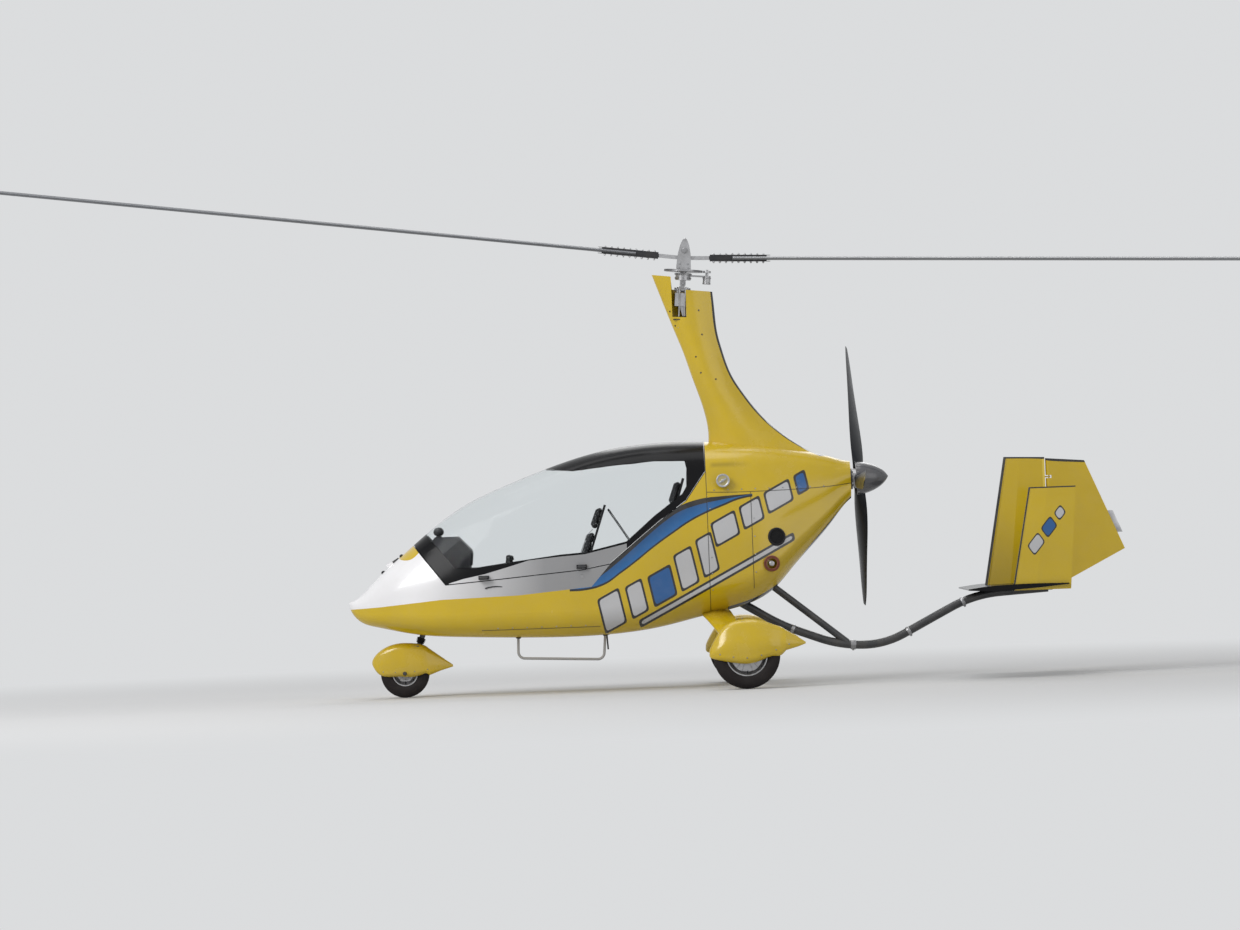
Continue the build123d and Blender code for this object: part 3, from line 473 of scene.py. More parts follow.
# Moulded plastic and rubber: fine pebbled grain, paler where it is rubbed.
moulded, taken, given = start_group(
    "moulded_grain",
    (("Colour", "Color", (0.05, 0.05, 0.05, 1.0)), ("Size", "Float", 900.0), ("Sheen", "Float", 0.5)),
    (("Base Color", "Color"), ("Roughness", "Float"), ("Normal", "Vector")),
)
place = step(moulded, "TexCoord", give=3)
pebbles = step(moulded, "TexVoronoi", place, None, taken["Size"])
wear = step(moulded, "TexNoise", place, None, 7.0, 7.0, 0.65)
colour = mixed(moulded, spread(moulded, wear, 0.45, 0.8, 0.0, 0.12), taken["Colour"], (0.16, 0.15, 0.14, 1.0))
moulded.links.new(colour, given["Base Color"])
rubbed = spread(moulded, wear, 0.3, 0.7, -0.05, 0.15)
moulded.links.new(calc(moulded, "ADD", taken["Sheen"], rubbed), given["Roughness"])
moulded.links.new(bumped(moulded, pebbles, 0.0005, 0.35), given["Normal"])

black_plastic, tree, shader = start_finish("black_plastic", Specular_IOR_Level=0.18)
put_group(tree, moulded, shader, Colour=(0.016, 0.016, 0.018, 1.0), Size=800.0, Sheen=0.45)
dress(black_plastic, "canopy_fittings", "cockpit_controls", "front_seat_shell", "rear_seat_shell")

# Small fittings on the skin: black, apart from the bare tube of the boarding step.
fittings, tree, shader = start_finish("skin_fittings")
x, y, z = axes(tree)
bare = both(tree, within(tree, x, -1.2, -0.55), past(tree, -0.15, y))
colour = mixed(tree, bare, (0.016, 0.016, 0.018, 1.0), (0.34, 0.33, 0.32, 1.0))
put_group(tree, moulded, shader, Colour=colour, Size=800.0, Sheen=0.38)
dress(fittings, "body_fittings")


# Wheels: rubber tyres with four grooves round the tread, on split alloy rims that a ring of
# bolts holds together. A steel brake disc sits on the inner side of each main wheel.
def fresh():
    """Back to object mode with nothing selected."""
    if bpy.context.mode != "OBJECT":
        bpy.ops.object.mode_set(mode="OBJECT")
    bpy.ops.object.select_all(action="DESELECT")


def work_on(piece):
    fresh()
    bpy.context.view_layer.objects.active = piece
    piece.select_set(True)


def turned(name, outline, steps=32):
    """A round piece about Z, drawn up ring by ring from a circle. An outline of (radius, height)
    that ends where it starts makes a ring; any other gets a flat face at each end."""
    fresh()
    radius, height = outline[0]
    fill = "NOTHING" if outline[0] == outline[-1] else "NGON"
    bpy.ops.mesh.primitive_circle_add(
        vertices=steps, radius=radius, fill_type=fill, location=(0.0, 0.0, height)
    )
    piece = bpy.context.object
    piece.name = name
    bpy.ops.object.transform_apply(location=True)
    bpy.ops.object.mode_set(mode="EDIT")
    bpy.ops.mesh.select_mode(type="VERT")
    bpy.ops.mesh.select_all(action="SELECT")
    for wider, higher in outline[1:]:
        bpy.ops.mesh.extrude_region_move(TRANSFORM_OT_translate={"value": (0.0, 0.0, higher - height)})
        share = wider / radius
        bpy.ops.transform.resize(value=(share, share, 1.0), center_override=(0.0, 0.0, higher))
        radius, height = wider, higher
    bpy.ops.mesh.select_all(action="SELECT")
    bpy.ops.mesh.remove_doubles(threshold=0.00001)
    bpy.ops.mesh.normals_make_consistent(inside=False)
    bpy.ops.object.mode_set(mode="OBJECT")
    return piece


def pick(piece, chosen):
    """Opens a piece for editing with the faces selected whose middle and direction pass a test."""
    work_on(piece)
    bpy.ops.object.mode_set(mode="EDIT")
    bpy.ops.mesh.select_mode(type="FACE")
    bpy.ops.mesh.select_all(action="DESELECT")
    bpy.ops.object.mode_set(mode="OBJECT")
    for face in piece.data.polygons:
        face.select = chosen(face.center, face.normal)
    bpy.ops.object.mode_set(mode="EDIT")


def aimed(spot, towards):
    """The place of a piece whose own Z looks towards a direction."""
    return Matrix.Translation(spot) @ Vector(towards).to_track_quat("Z", "Y").to_matrix().to_4x4()


def together(name, pieces):
    fresh()
    bpy.context.view_layer.update()
    for piece in pieces:
        piece.select_set(True)
    bpy.context.view_layer.objects.active = pieces[0]
    if len(pieces) > 1:
        bpy.ops.object.join()
    bpy.context.object.name = name
    return bpy.context.object


def copies(name, pattern, places):
    """A copy of a pattern at each place, joined into one piece."""
    made = []
    for place in places:
        copy = pattern.copy()
        copy.data = pattern.data.copy()
        bpy.context.collection.objects.link(copy)
        copy.matrix_world = place @ pattern.matrix_world
        made.append(copy)
    bpy.data.objects.remove(pattern)
    return together(name, made)


def settle(piece, body, finish, place=None):
    """Applies a piece's place to its mesh, smooths it, and gives it its finish and its body."""
    if place is not None:
        piece.matrix_world = place @ piece.matrix_world
    work_on(piece)
    bpy.ops.object.transform_apply(location=True, rotation=True, scale=True)
    bpy.ops.object.shade_smooth_by_angle(angle=math.radians(38.0))
    piece.data.materials.clear()
    piece.data.materials.append(finish)
    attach(piece, body)
    return piece


def mirrored_ring(half):
    """A closed ring outline from its upper half, which runs from the bore outwards."""
    return [*half, *((radius, -height) for radius, height in reversed(half)), half[0]]


def bolt(across, high, steps=6):
    """A bolt head or nut with chamfered corners, on its washer."""
    washer = turned("washer", ((across * 0.66, 0.0), (across * 0.66, across * 0.1)), 14)
    corner = across * 0.577
    head = turned("head", (
        (corner * 0.96, across * 0.1), (corner, across * 0.16), (corner, high * 0.86), (corner * 0.86, high),
        (corner * 0.30, high),
    ), steps)
    return together("bolt", [head, washer])


tyre_rubber, tree, shader = start_finish("tyre_rubber", Specular_IOR_Level=0.2)
put_group(tree, moulded, shader, Colour=(0.014, 0.011, 0.011, 1.0), Size=600.0, Sheen=0.62)
rim_alloy, tree, shader = start_finish("rim_alloy", Metallic=1.0)
put_group(tree, worked_metal, shader, Metal=(0.55, 0.55, 0.56, 1.0), Grain=(80.0, 80.0, 80.0), Polish=0.34)
TREAD = (
    (1.0, 0.06), (0.996, 0.17), (0.93, 0.185), (0.93, 0.255), (0.990, 0.27), (0.976, 0.49), (0.915, 0.505),
    (0.915, 0.575), (0.962, 0.59), (0.945, 0.67), (0.90, 0.76), (0.80, 0.87), (0.63, 0.965), (0.42, 1.0),
    (0.20, 0.97), (0.05, 0.86), (0.0, 0.66),
)
upright = Matrix.Rotation(math.radians(90.0), 4, "X")
for name, x, y, radius, rim, width, bore in (
    ("nose_wheel", -1.841, 0.0, 0.151, 0.078, 0.084, 0.010),
    ("main_wheel_left", 0.263, -0.855, 0.203, 0.124, 0.104, 0.012),
    ("main_wheel_right", 0.263, 0.855, 0.203, 0.124, 0.104, 0.012),
):
    place = Matrix.Translation((x, y, radius)) @ upright
    outer_side = -1.0 if y > 0 else 1.0
    tyre = turned(name + "_grooved_tyre", mirrored_ring(
        [(rim + share * (radius - rim), out * width / 2) for share, out in reversed(TREAD)]
    ), 96)
    settle(tyre, name, tyre_rubber, place)
    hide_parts(name + "_tyre")

    edge, hub = 0.36 * width, 0.33 * width
    inner, outer = bore + 0.030, rim - 0.024
    rim_piece = turned(name + "_split_rim", mirrored_ring([
        (bore + 0.0002, hub), (bore + 0.014, hub), (bore + 0.018, hub - 0.003), (bore + 0.019, 0.012),
        (inner, 0.0078), (outer, 0.0078), (rim - 0.017, 0.014), (rim - 0.012, edge - 0.007),
        (rim - 0.005, edge), (rim + 0.002, edge), (rim + 0.0038, edge - 0.002), (rim + 0.0038, edge - 0.005),
        (rim - 0.004, edge - 0.009),
    ]), 72)

    def pocket(middle, direction):
        turn = math.degrees(math.atan2(middle.y, middle.x)) % 60.0
        return inner < middle.xy.length < outer and 10.0 < turn < 50.0

    pick(rim_piece, pocket)
    bpy.ops.mesh.inset(thickness=0.0022, depth=-0.0048)
    settle(rim_piece, name, rim_alloy, place)
    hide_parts(name + "_rim")

    spots = []
    for number in range(6):
        turn = math.radians(60.0 * number)
        for side in (1.0, -1.0):
            spot = ((bore + 0.025) * math.cos(turn), (bore + 0.025) * math.sin(turn), side * 0.0092)
            spots.append(aimed(spot, (0.0, 0.0, side)))
    settle(copies(name + "_bolts", bolt(0.010, 0.007), spots), name, bolt_steel, place)
    valve = turned(name + "_valve", (
        (0.0045, 0.0), (0.0045, 0.016), (0.0036, 0.018), (0.0036, 0.026), (0.0028, 0.028),
    ), 10)
    tilted = aimed((0.0, -(rim - 0.016), outer_side * 0.013), (0.0, 0.5, outer_side))
    settle(valve, name, black_plastic, place @ tilted)
    if name != "nose_wheel":
        disc = turned(name + "_brake_disc", mirrored_ring([
            (0.0135, 0.0025), (0.030, 0.0025), (0.034, 0.0020), (0.044, 0.0020), (0.046, 0.0026),
            (0.070, 0.0026), (0.0705, 0.0018),
        ]), 60)
        settle(disc, name, bolt_steel, place @ Matrix.Translation((0.0, 0.0, outer_side * -0.0372)))


# Wheel fairings: screws along the parting edges hold their two halves together. The nose
# leg comes out of the belly through a ribbed rubber boot.
def screw(radius):
    """A pan-head screw with a sunk socket."""
    return turned("screw", (
        (radius, 0.0), (radius, radius * 0.25), (radius * 0.8, radius * 0.5), (radius * 0.42, radius * 0.55),
        (radius * 0.36, radius * 0.2),
    ), 10)


def on_skin(node, start, towards):
    """Where a straight line first meets a CAD node, and which way the skin faces there."""
    found, spot, facing, face = cad[node].ray_cast(Vector(start), Vector(towards).normalized())
    return spot, facing


def along_skin(name, node, radius, starts, towards, body="airframe"):
    """Screws on a CAD node's skin, where lines from the starting places meet it."""
    places = []
    for start in starts:
        spot, facing = on_skin(node, start, towards)
        places.append(aimed(spot - facing * radius * 0.1, facing))
    return settle(copies(name, screw(radius), places), body, bolt_steel)


SCREW_RADIUS = 0.0045
EDGE = ((0.10, 0.215), (0.18, 0.196), (0.263, 0.189), (0.35, 0.202), (0.44, 0.232), (0.52, 0.262))
NOSE_EDGE = ((-1.975, 0.165), (-1.900, 0.160), (-1.780, 0.162), (-1.70, 0.172))
for side, sign in (("left", -1.0), ("right", 1.0)):
    node = "main_fairing_" + side
    outside = [(x, sign * 1.3, z) for x, z in EDGE]
    along_skin(node + "_outer_screws", node, SCREW_RADIUS, outside, (0.0, -sign, 0.0))
    inside = [(x, sign * 0.4, z) for x, z in EDGE]
    along_skin(node + "_inner_screws", node, SCREW_RADIUS, inside, (0.0, sign, 0.0))
    leg_top = [(x, sign * 0.80, 0.9) for x in (0.200, 0.236, 0.272)]
    along_skin(node + "_top_screws", node, SCREW_RADIUS, leg_top, (0.0, 0.0, -1.0))
for side, sign in (("left", -1.0), ("right", 1.0)):
    edge = [(x, sign * 0.4, z) for x, z in NOSE_EDGE]
    along_skin("nose_fairing_screws_" + side, "nose_fairing", 0.004, edge, (0.0, -sign, 0.0), "nose_steering")

rubber, tree, shader = start_finish("boot_rubber")
put_group(tree, moulded, shader, Colour=(0.014, 0.014, 0.014, 1.0), Size=900.0, Sheen=0.58)
ribs = [(0.0175, -0.056)]
for number in range(4):
    low = -0.054 + 0.0085 * number
    valley, crest = 0.021 + 0.001 * number, 0.028 + 0.001 * number
    ribs += [(valley, low), (crest, low + 0.0035), (valley, low + 0.007)]
ribs += [(0.0175, -0.019), ribs[0]]
boot = turned("steering_boot", ribs, 36)
steer_place = aimed((-1.723, 0.0, 0.385), (math.sin(math.radians(22.0)), 0.0, math.cos(math.radians(22.0))))
settle(boot, "nose_steering", rubber, steer_place)

# Hull: screws hold the belly tray, the cowl's lower half and its hatches. Quarter-turn
# fasteners and a small moulded air scoop sit on the nose in front of the screen.
for side, sign in (("left", -1.0), ("right", 1.0)):
    seam = [(-1.25 + 0.09 * number, sign * 1.0, 0.412) for number in range(7)]
    along_skin("belly_tray_screws_" + side, "hull_tub", SCREW_RADIUS, seam, (0.0, -sign, 0.0))
    seam = [(0.11 + 0.085 * number, sign * 1.0, 1.213) for number in range(9)]
    seam += [(0.080, sign * 1.0, 0.60 + 0.10 * number) for number in range(6)]
    seam += [(0.350, sign * 1.0, 0.70 + 0.11 * number) for number in range(5)]
    along_skin("cowl_screws_" + side, "engine_cowl", SCREW_RADIUS, seam, (0.0, -sign, 0.0))

places = []
for x, y in ((-1.837, -0.045), (-1.837, 0.045), (-1.953, -0.040), (-1.953, 0.040)):
    spot, facing = on_skin("hull_upper_shell", (x, y, 1.3), (0.0, 0.0, -1.0))
    places.append(aimed(spot - facing * 0.001, facing))
stud = turned("stud", (
    (0.013, 0.0), (0.013, 0.004), (0.011, 0.0065), (0.0085, 0.007), (0.008, 0.011), (0.006, 0.012),
), 20)
settle(copies("nose_fasteners", stud, places), "airframe", black_plastic)


def cut_out(name, corners, thick, soften=0.0):
    """A plate cut to an outline in its own X and Y, its underside at 0, with softened edges."""
    fresh()
    bpy.ops.mesh.primitive_circle_add(vertices=len(corners), radius=1.0, fill_type="NGON")
    piece = bpy.context.object
    piece.name = name
    for vertex, corner in zip(piece.data.vertices, corners):
        vertex.co = (*corner, 0.0)
    bpy.ops.object.mode_set(mode="EDIT")
    bpy.ops.mesh.select_all(action="SELECT")
    bpy.ops.mesh.extrude_region_move(TRANSFORM_OT_translate={"value": (0.0, 0.0, thick)})
    bpy.ops.mesh.select_all(action="SELECT")
    bpy.ops.mesh.normals_make_consistent(inside=False)
    if soften:
        bpy.ops.mesh.bevel(offset=soften, segments=2, affect="EDGES")
    bpy.ops.object.mode_set(mode="OBJECT")
    return piece


def block(name, half_x, half_y, thick, soften):
    """A plain rectangular block with softened edges, centred, its underside at 0."""
    corners = [(-half_x, -half_y), (half_x, -half_y), (half_x, half_y), (-half_x, half_y)]
    return cut_out(name, corners, thick, soften)


def mouth(middle, direction):
    return direction.x < -0.9


spot, facing = on_skin("hull_upper_shell", (-1.888, 0.0, 1.3), (0.0, 0.0, -1.0))
aft = Vector((facing.z, 0.0, -facing.x))
lie = Matrix.Translation(spot - facing * 0.006) @ axes_along(aft, (0.0, 1.0, 0.0), facing)
scoop = cut_out("nose_air_scoop", [
    (-0.042, -0.040), (-0.010, -0.043), (0.026, -0.034), (0.045, -0.014), (0.045, 0.014), (0.026, 0.034),
    (-0.010, 0.043), (-0.042, 0.040),
], 0.026)
for vertex in scoop.data.vertices:
    if vertex.co.z > 0.01:
        vertex.co.z -= 0.14 * (vertex.co.x + 0.042)
        vertex.co.y *= 0.86
pick(scoop, mouth)
bpy.ops.mesh.inset(thickness=0.003, depth=0.0)
bpy.ops.mesh.inset(thickness=0.0005, depth=-0.030)
bpy.ops.object.mode_set(mode="OBJECT")
settle(scoop, "airframe", hull_white, lie)
lining = cut_out("scoop_lining", [
    (-0.032, -0.031), (-0.014, -0.032), (-0.014, 0.032), (-0.032, 0.031),
], 0.0195, 0.001)
settle(lining, "airframe", black_plastic, lie @ Matrix.Translation((0.0, 0.0, 0.0008)))

# Canopy: on the port sill, two flush latches with paddle levers, a pull handle let into the
# hull under the first and a round lock under the second. Bolts hold the hinges to starboard.
for number, (x, z) in enumerate(((-1.325, 0.728), (-0.721, 0.774))):
    spot, facing = on_skin("canopy_fittings", (x, -1.0, z), (0.0, 1.0, 0.0))
    lever = cut_out("latch_lever", [
        (-0.026, -0.006), (-0.018, -0.0085), (0.016, -0.0085), (0.026, -0.004), (0.026, 0.004),
        (0.016, 0.0085), (-0.018, 0.0085), (-0.026, 0.006),
    ], 0.006, 0.0014)
    pivot = turned("pivot", ((0.0055, 0.0), (0.0055, 0.0075), (0.0045, 0.0085), (0.002, 0.0085)), 16)
    pivot.location.x = -0.017
    lever = together("canopy_latch_lever_%d" % (number + 1), [lever, pivot])
    settle(lever, "canopy", dark_coat, Matrix.Translation(spot) @ upright)

spot, facing = on_skin("hull_upper_shell", (-1.255, -1.0, 0.668), (0.0, 1.0, 0.0))
bow = []
for number in range(13):
    share = number / 6.0 - 1.0
    bow.append((0.066 * share, 0.006 - 0.010 * share * share))
lower = [(x * 0.97, z - 0.0065) for x, z in reversed(bow)]
handle = cut_out("hull_pull_handle", bow + lower, 0.005, 0.0012)
let_in = Matrix.Translation(spot + Vector((0.0, 0.002, 0.0)))
settle(handle, "airframe", black_plastic, let_in @ upright)
spot, facing = on_skin("hull_upper_shell", (-0.721, -1.0, 0.715), (0.0, 1.0, 0.0))
lock = turned("canopy_lock", mirrored_ring([
    (0.0045, 0.0010), (0.0075, 0.0022), (0.0100, 0.0022), (0.0112, 0.0012),
]), 28)
core = turned("core", ((0.0050, -0.001), (0.0050, 0.0010), (0.0042, 0.0014)), 20)
settle(together("canopy_lock", [lock, core]), "airframe", bolt_steel, aimed(spot, facing))

spots = []
for x in (-1.230, -0.760):
    for side in (-1.0, 1.0):
        spots.append(aimed((x + side * 0.019, 0.4125, 0.709), (0.0, 1.0, 0.0)))
        spots.append(aimed((x + side * 0.028, 0.402, 0.745), (side, 0.0, 0.0)))
settle(copies("hinge_bolts", bolt(0.010, 0.006), spots), "airframe", bolt_steel)

# Seats: moulded shells with loose cushions, foam in a black woven cover with sewn channels.
woven, taken, given = start_group(
    "woven_cover",
    (("Colour", "Color", (0.05, 0.05, 0.05, 1.0)), ("Count", "Float", 500.0)),
    (("Base Color", "Color"), ("Roughness", "Float"), ("Normal", "Vector")),
)
x, y, z = axes(woven)
threads = calc(woven, "MULTIPLY", taken["Count"], 2.0 * math.pi)
ridge = calc(woven, "SINE", calc(woven, "MULTIPLY", calc(woven, "ADD", x, z), threads))
across = calc(woven, "SINE", calc(woven, "MULTIPLY", y, threads))
weave = calc(woven, "MULTIPLY", ridge, across)
fluff = step(woven, "TexNoise", step(woven, "TexCoord", give=3), None, 38.0, 6.0, 0.7)
tinted = mixed(woven, spread(woven, weave, -1.0, 1.0, 0.45, 0.0), taken["Colour"], (0.004, 0.004, 0.005, 1.0))
tinted = mixed(woven, spread(woven, fluff, 0.45, 0.8, 0.0, 0.45), tinted, (0.12, 0.115, 0.11, 1.0))
woven.links.new(tinted, given["Base Color"])
woven.links.new(spread(woven, fluff, 0.3, 0.7, 0.72, 0.92), given["Roughness"])
woven.links.new(bumped(woven, weave, 0.0006, 0.5), given["Normal"])

seat_cloth, tree, shader = start_finish("seat_cloth", Sheen_Weight=0.25, Sheen_Roughness=0.4)
put_group(tree, woven, shader, Colour=(0.022, 0.022, 0.025, 1.0), Count=450.0)
webbing, tree, shader = start_finish("harness_webbing", Sheen_Weight=0.15)
put_group(tree, woven, shader, Colour=(0.040, 0.042, 0.050, 1.0), Count=260.0)


def cushion(name, side_view, half, swell, rest, facing):
    """Foam in a cover: a block cut to its side view and blown up as cloth, flat where it rests."""
    pad = cut_out(name, side_view, 2.0 * half - 0.012, 0.014)
    pad.matrix_world = Matrix.Translation((0.0, half - 0.006, 0.0)) @ upright
    work_on(pad)
    bpy.ops.object.transform_apply(location=True, rotation=True, scale=True)
    remesh = pad.modifiers.new("even_faces", "REMESH")
    remesh.mode = "VOXEL"
    remesh.voxel_size = 0.006
    bpy.ops.object.modifier_apply(modifier="even_faces")
    before = [vertex.co.copy() for vertex in pad.data.vertices]
    cloth = pad.modifiers.new("foam", "CLOTH")
    cloth.settings.use_pressure = True
    cloth.settings.uniform_pressure_force = 4.0
    cloth.settings.effector_weights.gravity = 0.0
    cloth.settings.quality = 4
    cloth.point_cache.frame_start = 1
    cloth.point_cache.frame_end = 20
    for frame_number in range(1, 21):
        bpy.context.scene.frame_set(frame_number)
    work_on(pad)
    bpy.ops.object.modifier_apply(modifier="foam")
    bpy.context.scene.frame_set(1)
    for vertex, start in zip(pad.data.vertices, before):
        move = vertex.co - start
        if move.length > swell:
            vertex.co = start + move * (swell / move.length)
        sunk = (vertex.co - rest).dot(facing)
        if sunk < 0.0:
            vertex.co -= facing * sunk
    return pad


def sewn(pad, channels, width, depth):
    """Presses sewn channels into a cushion: each is a point and the direction across it."""
    for vertex in pad.data.vertices:
        away = min(abs((vertex.co - Vector(point)).dot(Vector(across))) for point, across in channels)
        vertex.co -= vertex.normal * depth * math.exp(-((away / width) ** 2))
    return pad


# In side view: the base's front edge, the back's foot and its top, then half the width.
SEATS = (
    ("front_seat", -1.140, 0.500, -0.800, 0.470, -0.572, 1.150, 0.190),
    ("rear_seat", -0.560, 0.590, -0.310, 0.560, -0.082, 1.295, 0.175),
)


def seat_back(x1, z1, x2, z2):
    """A seat back's length, the directions up it and out of its front, and its foot."""
    length = math.hypot(x2 - x1, z2 - z1)
    up = Vector(((x2 - x1) / length, 0.0, (z2 - z1) / length))
    return length, up, Vector((-up.z, 0.0, up.x)), Vector((x1, 0.0, z1))


for name, x0, z0, x1, z1, x2, z2, half in SEATS:
    length, up, front, root = seat_back(x1, z1, x2, z2)
    base = cushion(name + "_base_cushion", [
        (x0 + 0.011, z0 + 0.006), (x1 - 0.066, z1 + 0.014), (x1 - 0.048, z1 + 0.056),
        (x0 + 0.020, z0 + 0.050),
    ], half, 0.010, Vector((x0, 0.0, z0 + 0.001)), Vector((z0 - z1, 0.0, x1 - x0)).normalized())
    channels = [((x0 + share * (x1 - x0), 0.0, z0), (1.0, 0.0, 0.0)) for share in (0.26, 0.50, 0.74)]
    sewn(base, channels, 0.005, 0.004)

    def side_point(high, deep):
        spot = root + up * high + front * deep
        return spot.x, spot.z

    parting = 0.76 * length
    back = cushion(name + "_back_cushion", [
        side_point(0.078, 0.004), side_point(parting - 0.008, 0.004),
        side_point(parting - 0.012, 0.036), side_point(0.090, 0.046),
    ], half, 0.009, root + front * 0.001, front)
    channels = [(root + up * (share * length), up) for share in (0.26, 0.39, 0.52, 0.65)]
    sewn(back, channels, 0.005, 0.004)
    head = cushion(name + "_head_cushion", [
        side_point(parting + 0.008, 0.004), side_point(length - 0.018, 0.004),
        side_point(length - 0.026, 0.030), side_point(parting + 0.012, 0.036),
    ], half - 0.030, 0.009, root + front * 0.001, front)
    for pad, fill in ((base, 0.6), (back, 0.6), (head, 0.7)):
        smooth = pad.modifiers.new("finer", "SUBSURF")
        smooth.levels = 1
        smooth.render_levels = 1
        work_on(pad)
        bpy.ops.object.modifier_apply(modifier="finer")
        settle(pad, "airframe", seat_cloth)
        bpy.ops.object.shade_smooth()
        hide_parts(name + "_cushions")


# Harness: four-point webbing belts in each seat, with a stamped steel buckle on the lap and
# sliding adjusters on the shoulder straps. A dark rod braces the front seat from the sill.
def strap(name, line, place, width, thick=0.0024):
    """Webbing that follows a line of points in the plane of its place, laid on its left side."""
    over = []
    for number, (x, z) in enumerate(line):
        x0, z0 = line[max(number - 1, 0)]
        x1, z1 = line[min(number + 1, len(line) - 1)]
        size = math.hypot(x1 - x0, z1 - z0)
        over.append((x - (z1 - z0) / size * thick, z + (x1 - x0) / size * thick))
    piece = cut_out(name, list(line) + over[::-1], width, 0.0006)
    piece.matrix_world = place
    return piece


def rest_on(pads, start, towards, lift):
    """Where a line first meets one of some cushions, a little above it, in the side view."""
    best = None
    for pad in pads:
        found, spot, facing, face = pad.ray_cast(Vector(start), Vector(towards).normalized())
        if found and (best is None or (spot - Vector(start)).length < (best - Vector(start)).length):
            best = spot - Vector(towards).normalized() * lift
    return best


BELT_WIDTH = 0.048
crosswise = Matrix(((0.0, 0.0, 1.0), (1.0, 0.0, 0.0), (0.0, 1.0, 0.0))).to_4x4()
for name, x0, z0, x1, z1, x2, z2, half in SEATS:
    length, up, front, root = seat_back(x1, z1, x2, z2)
    pads = [bpy.data.objects[name + "_base_cushion"], bpy.data.objects[name + "_back_cushion"]]
    buckle_x = x1 - 0.165
    line = []
    for number in range(4):
        start = Vector((buckle_x + 0.018 + 0.030 * number, 0.07, z1 + 0.5))
        line.append(rest_on(pads, start, (0.0, 0.0, -1.0), 0.003))
    for number in range(12):
        high = 0.125 + (0.70 * length - 0.125) * number / 11.0
        start = root + up * high + front * 0.4 + Vector((0.0, 0.07, 0.0))
        line.append(rest_on(pads, start, -front, 0.003))
    line.append(root + up * (0.765 * length) + front * 0.022)
    line = [(spot.x, spot.z) for spot in line if spot is not None]
    belts = []
    for sign in (-1.0, 1.0):
        belt = strap("shoulder_strap", line, Matrix.Translation((0.0, 0.024, 0.0)) @ upright, BELT_WIDTH)
        work_on(belt)
        bpy.ops.object.transform_apply(location=True, rotation=True, scale=True)
        for vertex in belt.data.vertices:
            rise = min(max((vertex.co.z - z1 - 0.06) / 0.36, 0.0), 1.0)
            vertex.co.y += sign * (0.028 + 0.052 * rise)
        belts.append(belt)
    across = []
    for number in range(15):
        y = (number / 7.0 - 1.0) * (half - 0.006)
        lift = 0.006 + 0.010 * (1.0 - (y / half) ** 2)
        spot = rest_on(pads[:1], (buckle_x, y, z1 + 0.5), (0.0, 0.0, -1.0), lift)
        if spot is not None:
            across.append((spot.y, spot.z))
    across = [(-half - 0.006, z1 + 0.012)] + across + [(half + 0.006, z1 + 0.012)]
    on_lap = Matrix.Translation((buckle_x - 0.024, 0.0, 0.0)) @ crosswise
    belts.append(strap("lap_strap", across, on_lap, BELT_WIDTH))
    settle(together(name + "_harness", belts), "airframe", webbing)
    middle = max(z for y, z in across[4:-4])
    buckle = cut_out("buckle", [
        (-0.026, -0.020), (-0.020, -0.027), (0.020, -0.027), (0.026, -0.020), (0.026, 0.020), (0.020, 0.027),
        (-0.020, 0.027), (-0.026, 0.020),
    ], 0.013, 0.002)
    button = turned("button", ((0.013, 0.0), (0.013, 0.0135), (0.0115, 0.0155), (0.004, 0.0155)), 28)
    tongue = cut_out("tongue", [
        (0.018, -0.020), (0.060, -0.024), (0.060, 0.024), (0.018, 0.020),
    ], 0.003, 0.0006)
    buckle = together(name + "_buckle", [buckle, button, tongue])
    settle(buckle, "airframe", bolt_steel, Matrix.Translation((buckle_x, 0.0, middle + 0.0015)))
    slides = []
    for sign in (-1.0, 1.0):
        x, z = line[9]
        slide = block("slide", 0.014, 0.028, 0.005, 0.0012)
        on_back = axes_along(up, (0.0, 1.0, 0.0), front)
        slide.matrix_world = Matrix.Translation((x, sign * 0.072, z)) @ on_back
        slides.append(slide)
    settle(together(name + "_strap_adjusters", slides), "airframe", bolt_steel)

brace_foot = Vector((-0.409, -0.330, 0.905))
brace_run = Vector((-0.545, -0.170, 1.118)) - brace_foot
brace = turned("seat_brace_rod", ((0.007, 0.0), (0.007, brace_run.length)), 14)
settle(brace, "airframe", dark_coat, aimed(brace_foot, brace_run))

# Instrument panel: a hooded black pod on a pedestal, with round dials in bezels, two radios
# and a row of switches on the face towards the front seat, and a compass on top.
dial_face, tree, shader = start_finish("dial_face", Roughness=0.5)
spot = step(tree, "VectorMath", step(tree, "TexCoord", give=2), (0.5, 0.5, 0.0), operation="SUBTRACT")
parts = tree.nodes.new("ShaderNodeSeparateXYZ")
tree.links.new(spot, parts.inputs[0])
out = step(tree, "VectorMath", spot, operation="LENGTH", give=1)
turn = calc(tree, "DIVIDE", calc(tree, "ARCTAN2", parts.outputs[1], parts.outputs[0]), 2.0 * math.pi)
marks = calc(tree, "PINGPONG", calc(tree, "MULTIPLY", turn, 12.0), 0.5)
ticks = both(tree, spread(tree, marks, 0.05, 0.07, 1.0, 0.0), within(tree, out, 0.37, 0.46))
small = calc(tree, "PINGPONG", calc(tree, "MULTIPLY", turn, 60.0), 0.5)
fine = both(tree, spread(tree, small, 0.09, 0.13, 1.0, 0.0), within(tree, out, 0.43, 0.46))
ticks = calc(tree, "MAXIMUM", ticks, fine)
sweep = both(tree, within(tree, out, 0.465, 0.485), within(tree, turn, -0.20, 0.12))
face = mixed(tree, ticks, (0.008, 0.008, 0.009, 1.0), (0.75, 0.75, 0.72, 1.0))
face = mixed(tree, sweep, face, (0.05, 0.35, 0.07, 1.0))
tree.links.new(face, shader.inputs["Base Color"])
smudges = step(tree, "TexNoise", None, None, 40.0, 4.0)
